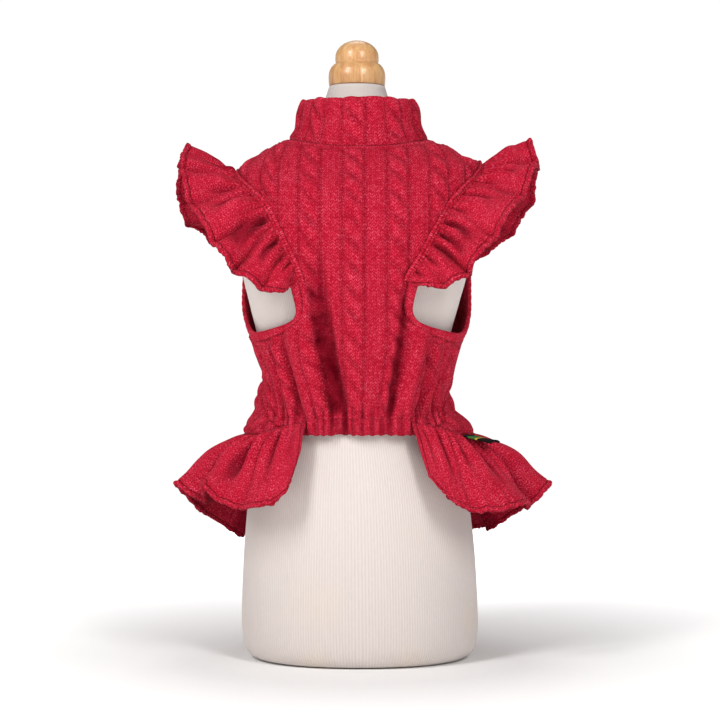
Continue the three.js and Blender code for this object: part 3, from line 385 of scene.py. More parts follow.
def ribJersey():
    look = jerseyLook
    material, tree = startMaterial(
        "ribCottonJersey", Roughness=0.9, Sheen_Weight=0.15, Specular_IOR_Level=0.2)
    cloth = addNode(tree, "Attribute", output="Vector", attribute_name="cloth")
    across, height = addNode(tree, "SeparateXYZ", cloth, output=slice(0, 2))
    rib = sineWaves(tree, across, look["ribPitch"])
    rib = addNode(tree, "Math", rib, 0.5, 0.5, operation="MULTIPLY_ADD")
    stretched = addNode(tree, "Mapping", {"Vector": cloth, "Scale": (1, 0.3, 1)})
    yarn = addNode(tree, "TexNoise", {"Vector": stretched, "Scale": look["yarnPerMetre"], "Detail": 3.0})
    level = addNode(tree, "Math", yarn, 1 - look["ribShare"], operation="MULTIPLY")
    level = addNode(tree, "Math", rib, look["ribShare"], level, operation="MULTIPLY_ADD")
    # Painted shade: darker in the grooves between the ribs
    mixed = {0: level, 6: colour(look["groove"]), 7: colour(look["cloth"])}
    base = addNode(tree, "Mix", mixed, output=2, data_type="RGBA")
    blotch = addNode(tree, "TexNoise", {"Vector": cloth, "Scale": look["blotchesPerMetre"], "Detail": 2.0})
    blotch = addNode(tree, "MapRange", blotch, *look["blotchRange"])
    low = addNode(tree, "MapRange", height, *look["agedHeights"], look["agedShare"], 0.0)
    aged = addNode(tree, "Math", blotch, low, operation="MULTIPLY")
    mixed = {0: aged, 6: base, 7: colour(look["age"])}
    base = addNode(tree, "Mix", mixed, output=2, data_type="RGBA")
    depth = addNode(tree, "Math", yarn, look["yarnDepth"], operation="MULTIPLY")
    depth = addNode(tree, "Math", rib, look["ribDepth"], depth, operation="MULTIPLY_ADD")
    return finishMaterial(material, base, depth, 1.0, look["bumpStrength"])


# Turned beech under a honey lacquer: smooth and glossy, with long faint grain, and a painted
# shadow in the joint where it sits on the form
woodLook = {
    "early": "#d9ac75",
    "late": "#b27440",
    "jointShadow": "#4a2a16",
    "grain": 1.6 / metre,
    "grainStretch": 0.12,
    "grainShare": 0.7,
    "grainStops": (0.32, 0.62),
    "poreDepth": 0.00008,
    "shadowTop": 1.1 / metre,
    "shadowShare": 0.9,
    "bumpStrength": 0.3,
}


def lacqueredBeech():
    look = woodLook
    material, tree = startMaterial(
        "lacqueredBeech", Roughness=0.42, IOR=1.5, Coat_Weight=0.45, Coat_Roughness=0.16)
    where = addNode(tree, "TexCoord", output="Object")
    stretched = addNode(tree, "Mapping", {"Vector": where, "Scale": (1, 1, look["grainStretch"])})
    grain = addNode(tree, "TexNoise", {
        "Vector": stretched, "Scale": 0.4 / look["grain"], "Detail": 5.0, "Distortion": 0.6})
    pores = addNode(tree, "TexNoise", {"Vector": stretched, "Scale": 3 / look["grain"], "Detail": 2.0})
    level = addNode(tree, "Math", pores, 1 - look["grainShare"], operation="MULTIPLY")
    level = addNode(tree, "Math", grain, look["grainShare"], level, operation="MULTIPLY_ADD")
    ramp = addNode(tree, "ValToRGB", level)
    tones = [colour(look[name]) for name in ("late", "early")]
    setStops(ramp, list(zip(look["grainStops"], tones)))
    cloth = addNode(tree, "Attribute", output="Vector", attribute_name="cloth")
    height = addNode(tree, "SeparateXYZ", cloth, output="Y")
    # Painted shadow: darker at the bottom, where the finial sits on the form
    jointShadow = addNode(tree, "MapRange", height, 0.0, look["shadowTop"], look["shadowShare"], 0.0)
    mixed = {0: jointShadow, 6: ramp, 7: colour(look["jointShadow"])}
    base = addNode(tree, "Mix", mixed, output=2, data_type="RGBA")
    return finishMaterial(material, base, pores, look["poreDepth"], look["bumpStrength"])


# Woven polyester label, matt and dense: black with two plain stripes across
labelLook = {
    "ground": "#0d0c0b",
    "green": "#3c6b35",
    "yellow": "#b9a23f",
    "stripes": ((0.0, "ground"), (0.16, "green"), (0.42, "yellow"), (0.5, "ground")),  # shares of its length
    "thread": 0.45 / metre,
    "threadDepth": 0.00008,
    "bumpStrength": 0.5,
}
labelShape = {
    "length": 22,
    "width": 13,
    "thickness": 1.1,
    "angle": 63,  # round the skirt, from the belly's middle
    "out": 2,
    "drop": 0.84,
    "droop": 12,
    "curl": 1.6,
    "curlReach": 4.2,
}


def wovenLabel():
    look = labelLook
    material, tree = startMaterial(
        "wovenPolyesterLabel", Roughness=0.85, Specular_IOR_Level=0.15)
    cloth = addNode(tree, "Attribute", output="Vector", attribute_name="cloth")
    along, across = addNode(tree, "SeparateXYZ", cloth, output=slice(0, 2))
    share = addNode(tree, "Math", along, labelShape["length"] / metre, operation="DIVIDE")
    ramp = addNode(tree, "ValToRGB", share)
    ramp.node.color_ramp.interpolation = "CONSTANT"
    setStops(ramp, [(start, colour(look[tone])) for start, tone in look["stripes"]])
    threads = sineWaves(tree, across, look["thread"])
    return finishMaterial(material, ramp, threads, look["threadDepth"], look["bumpStrength"])


knit = brushedKnit()
jersey = ribJersey()
beech = lacqueredBeech()
labelCloth = wovenLabel()
print("materials made")


clothThickness = 1.6
roundness = 2.25  # 2 is an ellipse, more is squarer
dressBottom, casingTop, dressTop = 156, 169, 360

# Rings of the dress, keyed by the height of their side; 'tilt' raises the side at +X
bodyRings = (
    ("side", "front", "back", "tilt", "left", "right", "frontDepth", "backDepth"),
    (156, 157, 134, 0, 79, 81, 64.5, 80),
    (162, 162, 141, 0, 77, 77.5, 65, 79),
    (170, 169, 152, 0, 72.5, 67.5, 65.5, 74),
    (182, 181, 168, 0, 68.2, 62.2, 66, 69),
    (194, 193, 184, 0, 65, 64.8, 66, 67),
    (207, 206, 201, 0, 69, 67.5, 66.5, 67),
    (228, 227, 225, 0, 75.8, 75, 68, 68),
    (249, 248, 248, 0, 82.2, 80.2, 71, 70),
    (270, 270, 271, 0, 85.5, 84, 73.5, 72),
    (300, 299, 301, 1, 87, 86.5, 75.5, 73.5),
    (322, 318, 322, 3, 87, 87.5, 71, 71),
    (338, 332, 338, 5.5, 84.5, 86, 62, 64),
    (346, 340, 346.5, 1, 72.5, 74.5, 56.5, 58.5),
    (353, 346, 354.5, 0, 62, 63.5, 51.5, 53.5),
    (360, 352, 361, 0, 50, 50, 46, 48),
)


def bodyRing(key):
    return smoothRows(bodyRings, key)


def ringPoints(ring, angle, offset=0.0):
    sine, cosine = np.sin(angle), np.cos(angle)
    half = np.where(sine > 0, ring["right"], ring["left"]) + offset
    depth = np.where(cosine > 0, ring["frontDepth"], ring["backDepth"]) + offset
    end = np.where(cosine > 0, ring["front"], ring["back"])
    power = 2 / roundness
    height = ring["side"] + (end - ring["side"]) * cosine**2
    height = height + np.where(sine > 0, ring["tilt"] * sine**2, 0)
    return np.stack([half * signedPower(sine, power), -depth * signedPower(cosine, power), height], -1)


# The same ring's values as columns, for a grid with one ring in each row
def asColumns(ring):
    return {name: value[:, None] for name, value in ring.items()}


turnStep = 0.02  # radians, for the direction round a ring


def roundRing(ring, angle):
    return ringPoints(ring, angle + turnStep) - ringPoints(ring, angle - turnStep)


# Level direction straight out from a ring
def outwardFrom(ring, angle):
    around = roundRing(ring, angle)
    return unit(np.stack([around[:, 1], -around[:, 0], 0 * around[:, 0]], -1))


# Distance walked round each ring from the belly's centre, to the right and to the left
walkAngles = np.linspace(0, math.pi, 241)


def walkRings(ring):
    column = asColumns(ring)
    walks = []
    for side in (1, -1):
        points = ringPoints(column, side * walkAngles)
        steps = np.linalg.norm(np.diff(points, axis=1), axis=2)
        walks.append(np.concatenate([np.zeros((len(points), 1)), np.cumsum(steps, axis=1)], axis=1))
    return walks


def anglesAt(walks, distance):
    angles = np.zeros_like(distance)
    for row in range(len(distance)):
        right = np.interp(distance[row], walks[0][row], walkAngles)
        left = np.interp(-distance[row], walks[1][row], walkAngles)
        angles[row] = np.where(distance[row] > 0, right, -left)
    return angles


# Ring keys that lie evenly along the belly (angle 0) or the back (angle pi)
def evenKeys(start, end, angle, spacing):
    fine = np.linspace(start, end, 900)
    line = ringPoints(bodyRing(fine), np.full_like(fine, angle))
    along = walkedLength(line)
    count = int(round(along[-1] / spacing)) + 1
    places = np.linspace(0, along[-1], count)
    return np.interp(places, along, fine), places


# Raised knit: cables and ribs take turns across the cloth
knitShape = {
    "columnWidth": 15,
    "cableRise": 2.0,
    "ribRise": 1.35,
    "fullness": 0.5,  # below 1 a column is rounder and fuller
    "crossing": 16,
    "crossingDepth": 1.1,
    "crossingWidth": 0.17,
    "slant": 1.33,  # crossings that a strand passes over the width of its column
    "bulge": 0.5,
    "wales": 4,  # in each rib column
    "waleDepth": 0.38,
    "valley": 1.9,  # half the width of the dark line between columns
    # Painted shade in the valleys between columns, in the cables' crossings and between wales
    "valleyShade": 0.5,
    "crossingShade": 0.5,
    "waleShade": 0.22,
}


# Rise of the knit and the painted shade in its valleys, crossings and wales
def knitRise(across, along):
    shape = knitShape
    column = np.floor(across / shape["columnWidth"] + 1e-6)
    within = np.clip(across / shape["columnWidth"] - column, 0, 1)
    dome = np.maximum(0, np.sin(math.pi * within)) ** shape["fullness"]
    wales = 0.5 + 0.5 * np.cos(2 * math.pi * across * shape["wales"] / shape["columnWidth"])
    # The groove between two strands is S-shaped: upright at the column's edges
    turn = along / shape["crossing"] + shape["slant"] * np.arccos(1 - 2 * within) / math.pi
    apart = np.abs(turn - np.round(turn))
    groove = bell(apart, shape["crossingWidth"])
    bulge = shape["bulge"] * np.cos(2 * math.pi * (turn - 0.5))
    cable = (shape["cableRise"] + bulge - shape["crossingDepth"] * groove) * dome
    rib = (shape["ribRise"] - shape["waleDepth"] * wales) * dome
    fromEdge = np.minimum(within, 1 - within) * shape["columnWidth"]
    valley = bell(fromEdge, shape["valley"])
    isCable = column % 2 == 0
    valleys = shape["valleyShade"] * valley
    strands = np.maximum(valleys, shape["crossingShade"] * groove * dome)
    hollow = np.where(isCable, strands, np.maximum(valleys, shape["waleShade"] * wales))
    return np.where(isCable, cable, rib), hollow


# Two raised rows of sewing along a seam, and the dark lines of painted shade beside them
seamShape = {
    "ridges": ((1.1, 0.8), (3.1, 0.8)),  # distance from the cloth's edge and half width
    # The third number of each groove is how much painted shade it gets
    "grooves": ((-0.1, 0.55, 0.8), (2.1, 0.5, 0.5), (4.4, 0.8, 0.5)),  # and how hollow it is
}


def seamRidges(distance, size):
    rise = size * sum(bell(distance - at, width) for at, width in seamShape["ridges"])
    return rise, sum(dark * bell(distance - at, width) for at, width, dark in seamShape["grooves"])


# Soft uneven puckers, so that no stretch of cloth is quite smooth
puckerShape = {"rise": 0.28, "across": 31, "along": 43}


def puckers(across, along, seed):
    first = wobble(across + 0.4 * along, puckerShape["across"], seed)
    second = wobble(along - 0.3 * across, puckerShape["along"], seed + 1)
    return puckerShape["rise"] * (first + second)


foldShape = {
    "bow": 2.5,  # how far a fold curves sideways on its way up
    "spread": 0.5,  # how much wider it is at its top
    "hemHold": 0.4,  # share of it that the elastic leaves in the hem
    # Painted shade in the folds' troughs, and the depths over which it grows
    "hollow": 0.95,
    "hollowRise": (0.3, 5.6),
}


# Ridges and troughs that run up from the hem; a sharp one has steeper sides
def foldRise(folds, across, height):
    rise = np.zeros(np.broadcast(across, height).shape)
    for hem, top, topHeight, width, size, sharp in folds[1:]:
        share = (height - dressBottom) / (topHeight - dressBottom)
        bow = foldShape["bow"] * np.sin(math.pi * np.clip(share, 0, 1)) * math.copysign(1, top - hem)
        wide = width * (1 + foldShape["spread"] * np.maximum(share, 0))
        distance = np.abs(across - mix(hem, top, share) - bow) / wide
        rise = rise + size * np.exp(-distance**sharp) * (1 - smoothStep(0.2, 1, share))
    ease = smoothStep(casingTop - 1, casingTop + 9, height)
    return rise * mix(foldShape["hemHold"], 1, ease)


bellyFolds = (
    ("hem", "top", "topHeight", "width", "size", "sharp"),
    (-10, -34, 310, 6.2, -7.6, 5), (4.5, 1, 306, 7.5, 3.4, 2.4), (19, 37, 300, 3, -6.2, 2.4),
    (-24, -54, 276, 7, 5, 2.4), (-35, -62, 264, 2.8, -4.2, 2), (-42, -68, 258, 3.8, 2.6, 2),
    (-48.5, -73, 250, 2.8, -3, 2), (29, 52, 276, 5.2, 4.4, 2.4), (37.5, 62, 264, 2.8, -4, 2),
    (44, 68, 256, 3.6, 2.6, 2), (51, 74, 246, 2.8, -3, 2),
)
backFolds = (
    ("hem", "top", "topHeight", "width", "size", "sharp"),
    (-150, -92, 210, 8, 1.2, 2), (-134, -84, 204, 5, -0.8, 2.4), (-120, -80, 196, 6, -0.8, 2),
    (-92, -70, 200, 9, 0.8, 2), (-66, -52, 215, 7, -1.4, 2), (-40, -34, 232, 12, 2, 2),
    (-12, -8, 205, 7, -1, 2),
    (30, 24, 224, 12, 2, 2), (58, 46, 212, 7, -1.3, 2), (88, 66, 198, 9, 0.8, 2), (112, 78, 194, 7, -0.9, 2),
    (130, 84, 206, 5, -0.8, 2.4), (146, 90, 206, 8, 1.2, 2),
)


armholeOutline = (
    ("leftForward", "leftHeight", "rightForward", "rightHeight"),
    (66, 259, 67.5, 259), (65, 277, 66, 275), (61.5, 296, 62.5, 294), (54, 311, 54, 312),
    (29, 328, 29, 332), (2, 336.5, 2, 342.5), (-21, 328, -21, 332), (-33, 312, -33, 314),
    (-37, 296, -37, 296), (-35, 279, -35, 279), (-21, 248, -21, 248), (24, 221, 22, 220.5),
    (59, 230, 60, 229),
)
ruffleEnd = 9 / 13  # share of the armhole that the ruffle takes, from its front end
# How far forward the side seam runs at each height
sideSeam = (
    ("forward", "height"),
    (59, 60), (59, 152), (53, 161), (41, 168), (26, 180), (12, 193), (5, 207), (4, 232), (0, 300),
    (0, 420),
)


# Closed centripetal curve through the armhole's points: forward and height at shares of it
def armholeCurve(side, at):
    columns = (2, 3) if side > 0 else (0, 1)
    points = np.array(armholeOutline[1:], float)[:, columns]
    count = len(points)
    spot = (np.asarray(at, float) % 1) * count
    first = np.floor(spot).astype(int)
    share = (spot - first)[..., None]
    around = [points[(first + step) % count] for step in (-1, 0, 1, 2)]
    before, start, end, after = around
    steps = [following - here for here, following in zip(around, around[1:])]
    gaps = [np.linalg.norm(step, axis=-1, keepdims=True) ** 0.5 for step in steps]
    slopeIn = (start - before) / gaps[0] - (end - before) / (gaps[0] + gaps[1]) + (end - start) / gaps[1]
    slopeOut = (end - start) / gaps[1] - (after - start) / (gaps[1] + gaps[2]) + (after - end) / gaps[2]
    slopeIn, slopeOut = slopeIn * gaps[1], slopeOut * gaps[1]
    square = -3 * start + 3 * end - 2 * slopeIn - slopeOut
    cube = 2 * start - 2 * end + slopeIn + slopeOut
    return start + slopeIn * share + square * share**2 + cube * share**3


keyTries = 12  # rounds of moving a ring's key until its point is at the height asked for
keyStep = 0.5  # for the slope from ring to ring
armholeStep = 0.004  # for the direction along an armhole, as a share of it
armholeCorners = 156  # straight edges that stand for the armhole when distances are taken


# Points of the smooth dress as far forward and as high as asked, with their normals
def sidePoints(side, forward, height):
    key = np.array(height, float)
    for _ in range(keyTries):
        ring = bodyRing(key)
        depth = np.where(forward > 0, ring["frontDepth"], ring["backDepth"])
        cosine = signedPower(np.clip(forward / depth, -1, 1), roundness / 2)
        angle = side * np.arccos(cosine)
        points = ringPoints(ring, angle)
        key = key + height - points[..., 2]
    above, below = bodyRing(key + keyStep), bodyRing(key - keyStep)
    upward = ringPoints(above, angle) - ringPoints(below, angle)
    return points, unit(np.cross(roundRing(bodyRing(key), angle), upward))


# Frame of the armhole's edge; 'inward' lies in the cloth and points into the hole
def armholeFrame(side, at):
    here, ahead = armholeCurve(side, at), armholeCurve(side, np.asarray(at) + armholeStep)
    points, normals = sidePoints(side, here[..., 0], here[..., 1])
    following = sidePoints(side, ahead[..., 0], ahead[..., 1])[0]
    inward = unit(np.cross(unit(following - points), normals)) * side
    return points, normals, inward


# Distance to the armhole's edge, above 0 outside it; what lies inside is told from the side
def outsideArmhole(side, points):
    at = np.linspace(0, 1, armholeCorners, endpoint=False)
    polygon = armholeCurve(side, at)
    edge3d = sidePoints(side, polygon[:, 0], polygon[:, 1])[0]
    spots = points.reshape(-1, 3)
    nearest = np.full(len(spots), 1e9)
    inside = np.zeros(len(spots), bool)
    forward, height = -spots[:, 1], spots[:, 2]
    for index in range(len(at)):
        start, edge = edge3d[index], edge3d[(index + 1) % len(at)] - edge3d[index]
        share = np.clip(((spots - start) @ edge) / (edge @ edge), 0, 1)
        nearest = np.minimum(nearest, np.linalg.norm(spots - start - share[:, None] * edge, axis=1))
        (startForward, startHeight), (endForward, endHeight) = polygon[index], polygon[(index + 1) % len(at)]
        crosses = (startHeight > height) != (endHeight > height)
        climb = endHeight - startHeight if endHeight != startHeight else 1e-9
        edgeForward = startForward + (height - startHeight) * (endForward - startForward) / climb
        inside ^= crosses & (forward < edgeForward)
    distance = np.where(inside & (spots[:, 0] * side > 0), -nearest, nearest)
    return distance.reshape(points.shape[:-1])


seamSlope = 0.8  # the seam slants, so it is nearer than the distance straight forward


# Distance in front of the side seam, above 0 on the belly's side
def beforeSeam(points):
    seam = np.array(sideSeam[1:], float)
    return (-points[..., 1] - np.interp(points[..., 2], seam[:, 1], seam[:, 0])) * seamSlope


casing = {
    "cutWidth": 122,
    "height": 13,
    "gathers": 13,
    "gatherDepth": 0.95,
    "swell": 1.9,
    "squeeze": 0.68,  # the elastic's width as a share of the cloth's
    "easeTop": 224,  # height where the cloth has its full width again
    "pullReach": 7,  # how far the gathers run up into the panel
    "lineReach": 9,
    "lipRise": 0.7,
    "lipWidth": 2.6,
    "reach": 96,  # past the side seams, where it is cut off
    "step": 0.8,
    "rows": 16,
}
panelStep = {"across": 1.25, "along": 1.6}
# The back's cloth lies flat near its middle and is pressed together towards its side seams
backFit = {"flatReach": 110, "reach": 187.5, "room": 0.93, "spread": 1.1, "spreadTop": 185}
bellyOrigin, backOrigin = 10.5, 7.5


def bellySqueeze(key):
    return mix(casing["squeeze"], 1, smoothStep(casingTop - 4, casing["easeTop"], key))


def bellyBase(keys, across):
    ring = bodyRing(keys)
    squeeze = bellySqueeze(keys)[:, None]
    angles = anglesAt(walkRings(ring), across * squeeze)
    return ringPoints(asColumns(ring), angles)


def backBase(keys, across):
    ring = bodyRing(keys)
    walks = walkRings(ring)
    total = np.stack([walks[0][:, -1], walks[1][:, -1]])
    room = total.min(axis=0)[:, None] * backFit["room"]
    wider = mix(backFit["spread"], 1, smoothStep(dressBottom, backFit["spreadTop"], keys))
    spread = np.abs(across) * wider[:, None]
    kept, reach = backFit["flatReach"], backFit["reach"]
    squeeze = np.minimum(1, (room - kept) / (reach - kept))
    distance = np.where(spread < kept, spread, kept + (spread - kept) * squeeze)
    side = np.where(across > 0, 1, -1)
    ends = np.where(side > 0, total[0][:, None], total[1][:, None])
    angles = anglesAt(walks, side * (ends - distance))
    return ringPoints(asColumns(ring), angles)


axisPoint = np.array([0, 0, 250.0])


# The raised knit flattens this far from each edge of a panel
knitEase = {"side": (0.3, 2.4), "armhole": (3.6, 6), "neck": (2.4, 5), "hem": (0.2, 2.5)}
armholeSewing = {"size": (0.5, 0.1), "dark": (0.6, 1.1), "heights": (254, 264)}  # below and above
# Ridges and dark lines of painted shade along the edges: where, how far in, half width, rise and painted shade
edgeLines = (
    ("edge", "at", "width", "rise", "hollow"),
    ("neck", 1.6, 1.1, 0.75, 0), ("side", 1.5, 0.9, 0.55, 0), ("side", 0, 0.7, -0.5, 0),
    ("neck", -0.2, 0.8, 0, 0.6), ("neck", 4, 1.1, 0, 0.35), ("side", 0, 0.9, 0, 0.7),
    ("hem", 0, 1.6, 0, 0.1),
)


def bodyPanel(name, keys, along, across, base, origin, folds, front, seed):
    normals = gridNormals(base, axisPoint)
    wide = across * (bellySqueeze(keys)[:, None] if front else 1)
    rise = foldRise(folds, wide, keys[:, None]) + puckers(across, along[:, None], seed)
    # Painted shade in the folds' troughs
    hollow = foldShape["hollow"] * smoothStep(*foldShape["hollowRise"], -rise)
    relief, grooves = knitRise(across + origin, along[:, None])
    apart = {
        "side": np.abs(beforeSeam(base)),
        "armhole": np.minimum(outsideArmhole(1, base), outsideArmhole(-1, base)),
        "neck": (along[-1] - along)[:, None] + 0 * across,
        "hem": along[:, None] + 0 * across,
    }
    keep = 1
    for edge, (low, high) in knitEase.items():
        keep = keep * smoothStep(low, high, apart[edge])
    upper = smoothStep(*armholeSewing["heights"], base[..., 2])
    ridges, lines = seamRidges(apart["armhole"], mix(*armholeSewing["size"], upper))
    rise = rise + relief * keep + ridges
    # Painted shade in the knit's grooves and beside the armhole's sewing
    hollow = hollow + grooves * keep + lines * mix(*armholeSewing["dark"], upper)
    for edge, at, width, size, dark in edgeLines[1:]:
        line = bell(apart[edge] - at, width)
        rise, hollow = rise + size * line, hollow + dark * line
    if front:
        base[..., 2] += casingLine(across) * bell(apart["hem"], casing["lineReach"])
        rise = rise + casing["lipRise"] * bell(apart["hem"], casing["lipWidth"])
        # Gathers drawn up from the hem; their troughs get more painted shade and their ridges less
        pull = hemGather(across, 0.5) * bell(apart["hem"], casing["pullReach"])
        rise, hollow = rise + pull, hollow - 0.5 * pull
    outer = base + normals * rise[..., None]
    inner = base + normals * (np.minimum(rise - relief * keep, rise) - clothThickness)[..., None]
    cloth = clothPlaces(across + origin, along[:, None], hollow=hollow)
    field = np.minimum(apart["armhole"], beforeSeam(base) if front else -beforeSeam(base))
    return clothMesh(name, outer, inner, cloth, field)


# The panel's cloth, from its first column of knit to its last
def panelAcross(first, last, origin):
    width = knitShape["columnWidth"]
    return np.arange(first * width - origin, last * width - origin + 0.1, panelStep["across"])


# Gathers that the elastic draws into the belly's hem
def hemGather(across, share):
    phase = casing["gathers"] * across / casing["cutWidth"] + 0.2 * wobble(across, 30, 5)
    fine = 0.3 * np.cos(2 * math.pi * (2.7 * phase + 0.2 * share))
    return casing["gatherDepth"] * (np.cos(2 * math.pi * phase) + fine)


# The sewn line above the elastic wanders a little up and down
def casingLine(across):
    return 0.8 * wobble(across, 21, 9) + 0.35 * wobble(across, 8, 10)


def bellyPanel():
    across = panelAcross(-8, 9, bellyOrigin)
    keys, along = evenKeys(casingTop - 1, dressTop, 0, panelStep["along"])
    base = bellyBase(keys, across)
    places = (keys, along, across, base)
    return bodyPanel("dress_belly_panel", *places, bellyOrigin, bellyFolds, front=True, seed=11)


def backPanel():
    across = panelAcross(-12, 13, backOrigin)
    keys, along = evenKeys(dressBottom, dressTop, math.pi, panelStep["along"])
    base = backBase(keys, across)
    places = (keys, along, across, base)
    return bodyPanel("dress_back_panel", *places, backOrigin, backFolds, front=False, seed=23)


place(bellyPanel(), "belly_panel", "dress_knit", knit,
      flat=(0.255, 0.205), area=0.042, held="gathered", rests_on=["form_torso"])
place(backPanel(), "back_panel", "dress_knit", knit,
      flat=(0.36, 0.25), area=0.07, held="draped", rests_on=["form_torso"])


# Casing of the elastic: a puffed, gathered band with a fold at its lower edge
def bellyHem():
    across = np.arange(-casing["reach"], casing["reach"] + 0.1, casing["step"])
    shares = np.linspace(0, 1, casing["rows"])
    up = shares[:, None]
    keys = mix(dressBottom, casingTop, shares)
    base = bellyBase(keys, across)
    normals = gridNormals(base, axisPoint)
    gather = hemGather(across, up) * (0.5 + 0.5 * np.sin(math.pi * up))
    folds = foldRise(bellyFolds, across * casing["squeeze"], keys[:, None])
    swell = casing["swell"] * np.sqrt(np.maximum(0, np.sin(math.pi * mix(0.05, 0.95, up))))
    # Painted shade over the whole casing, more in the gathers' troughs, along its top and in the folds
    hollow = 0.25 - 0.4 * gather + 0.12 * bell(1 - up, 0.12) + 0.5 * smoothStep(0.4, 3, -folds)
    base[..., 2] += (0.9 * gather - 0.3) * (1 - up) ** 2
    base[..., 2] += casingLine(across) * smoothStep(0.3, 1, up)
    outer = base + normals * (swell + gather + folds)[..., None]
    inner = base + normals * (folds - clothThickness)[..., None]
    cloth = clothPlaces(across, casing["height"] * up, hollow=hollow)
    return clothMesh("dress_belly_hem", outer, inner, cloth, beforeSeam(base))


place(bellyHem(), "belly_hem", "dress_knit", knit,
      flat=(0.122, 0.013), held="gathered", rests_on=["form_torso"])
print("panels made")


collarRings = (
    ("rise", "left", "right", "frontDepth", "backDepth"),
    (0, 48.8, 49.6, 46, 47.5),
    (5, 45.5, 46.5, 45.2, 46),
    (13, 42.3, 43.2, 43.2, 43.4),
    (22, 41.4, 42.4, 42.4, 42.4),
    (29, 39.9, 40.9, 41, 41),
)
collar = {
    "columns": 20,
    "origin": 10.5,
    "front": 33,
    "side": 27,
    "back": 26.5,
    "ripples": ((0.5, 3, 1), (0.35, 7, 0)),  # of its top: height, count and start
    "sink": 0.7,  # the collar starts this far below the panels' top
    "rim": 1.5,
    "layers": 2.4,
    "step": 1.25,
    "rows": (29, 7, 13),  # outer face, rim and inner face
}


def collarPiece():
    width = collar["columns"] * knitShape["columnWidth"]
    across = np.arange(0, width + 0.1, collar["step"])
    # The loop starts in a groove at the back, where the real band is joined
    angle = 2 * math.pi * (across - collar["origin"] - width / 2) / width
    cosine = np.cos(angle)
    height = mix(collar["side"], np.where(cosine > 0, collar["front"], collar["back"]), cosine**2)
    for rise, count, start in collar["ripples"]:
        height = height + rise * np.sin(count * angle + start)
    seat = ringPoints(bodyRing(np.array(float(dressTop))), angle)[:, 2] - collar["sink"]
    outer, top, inner = collar["rows"]
    shares = np.concatenate([np.linspace(0, 1, outer), np.ones(top), np.linspace(1, 0, inner)])
    rim = np.concatenate([np.zeros(outer), np.linspace(0.12, 0.88, top), np.ones(inner)])
    loops, coordinates = [], []
    for share, over in zip(shares, rim):
        ring = smoothRows(collarRings, np.array(share * collarRings[-1][0]))
        ring = {**ring, "side": 0.0, "front": 0.0, "back": 0.0, "tilt": 0.0}
        relief, grooves = knitRise(across, share * height)
        keep = smoothStep(0.6, 4, share * height) * (1 - 0.5 * smoothStep(0.9, 1, share)) * (1 - over)
        ease = 0.4 * np.sin(4 * angle + 2) * share
        offset = relief * keep + ease - collar["layers"] * over
        points = ringPoints(ring, angle, offset)
        inside = 0.6 * np.maximum(cosine, 0) * (over == 1) * (share == 0)
        arch = collar["rim"] * math.sin(math.pi * over) * (0 < over < 1)
        points[:, 2] = seat + share * height + inside + arch * (1 + 0.25 * (relief - 1))
        loops.append(points)
        # Painted shade in the knit's grooves and in a line along the collar's foot
        hollow = grooves * np.maximum(keep, 0.5 * (over < 0.5) * (share > 0.5))
        hollow = hollow + 0.6 * bell(share * height, 1.2)
        coordinates.append(clothPlaces(across, share * height + 5 * over, hollow=hollow))
    loops = np.array(loops).swapaxes(0, 1)[:-1]
    coordinates = np.array(coordinates).swapaxes(0, 1)[:-1]
    return loopMesh("dress_collar", loops, coordinates, closed=True)


place(collarPiece(), "collar", "dress_knit", knit,
      flat=(0.3, 0.031), held="folded", rests_on=["belly_panel"])
print("collar made")


# Seam to edge, towards the side, forward and up, and how far the cloth lifts between
leftSleeveReach = (
    ("at", "side", "forward", "up", "lift"),
    (0, 4, 0, -2, 0.3), (0.06, 11, 9, -18, 2), (0.14, 19, 15, -26, 3), (0.22, 28, 17, -28, 3),
    (0.31, 36, 17, -22, 3), (0.4, 39, 13, -10, 2), (0.48, 39, 7, 7, 2), (0.515, 37, 3, 17, 2),
    (0.535, 35, 1, 20.5, 2), (0.56, 35.5, -1, 20.5, 2), (0.585, 39, -3, 17, 2), (0.62, 43, -7, 9, 3),
    (0.72, 47, -11, -7, 3), (0.83, 34, -11, -8, 3), (0.93, 15, -6, -7, 2), (1, 4, 0, -2, 0.3),
)
rightSleeveReach = (
    ("at", "side", "forward", "up", "lift"),
    (0, 4, 0, -2, 0.3), (0.06, 12, 10, -13, 2), (0.14, 22, 15, -20, 3), (0.22, 25, 17, -23, 3),
    (0.31, 32, 17, -17, 3), (0.4, 37, 12, -6, 3), (0.48, 39, 6, 5, 5), (0.545, 37, 0, 13, 6),
    (0.62, 42, -7, 4, 5), (0.72, 42, -11, -8, 3), (0.83, 29, -11, -12, 3), (0.93, 12, -6, -9, 2),
    (1, 4, 0, -2, 0.3),
)
leftSleeveWaves = (
    (0, 0), (0.035, -1.5), (0.075, 2.5), (0.12, -2.5), (0.165, 3), (0.215, -5.5), (0.265, 3.5),
    (0.305, -2.5), (0.355, 3.5), (0.405, -3.5), (0.445, 3.5), (0.485, -4), (0.53, 4.5), (0.575, -4),
    (0.62, 4), (0.665, -3.5), (0.71, 4), (0.76, -3.5), (0.81, 3.5), (0.86, -3), (0.91, 2.5),
    (0.955, -1.5), (1, 0),
)
rightSleeveWaves = (
    (0, 0), (0.045, 2), (0.09, -2.5), (0.13, 2.5), (0.18, -5.5), (0.235, 4), (0.3, -2.5), (0.35, 2.5),
    (0.405, -3), (0.45, 3), (0.495, -4.5), (0.55, 4.5), (0.6, -4), (0.65, 3.5), (0.7, -3.5),
    (0.75, 4), (0.8, -3.5), (0.85, 3), (0.9, -2.5), (0.95, 2), (1, 0),
)
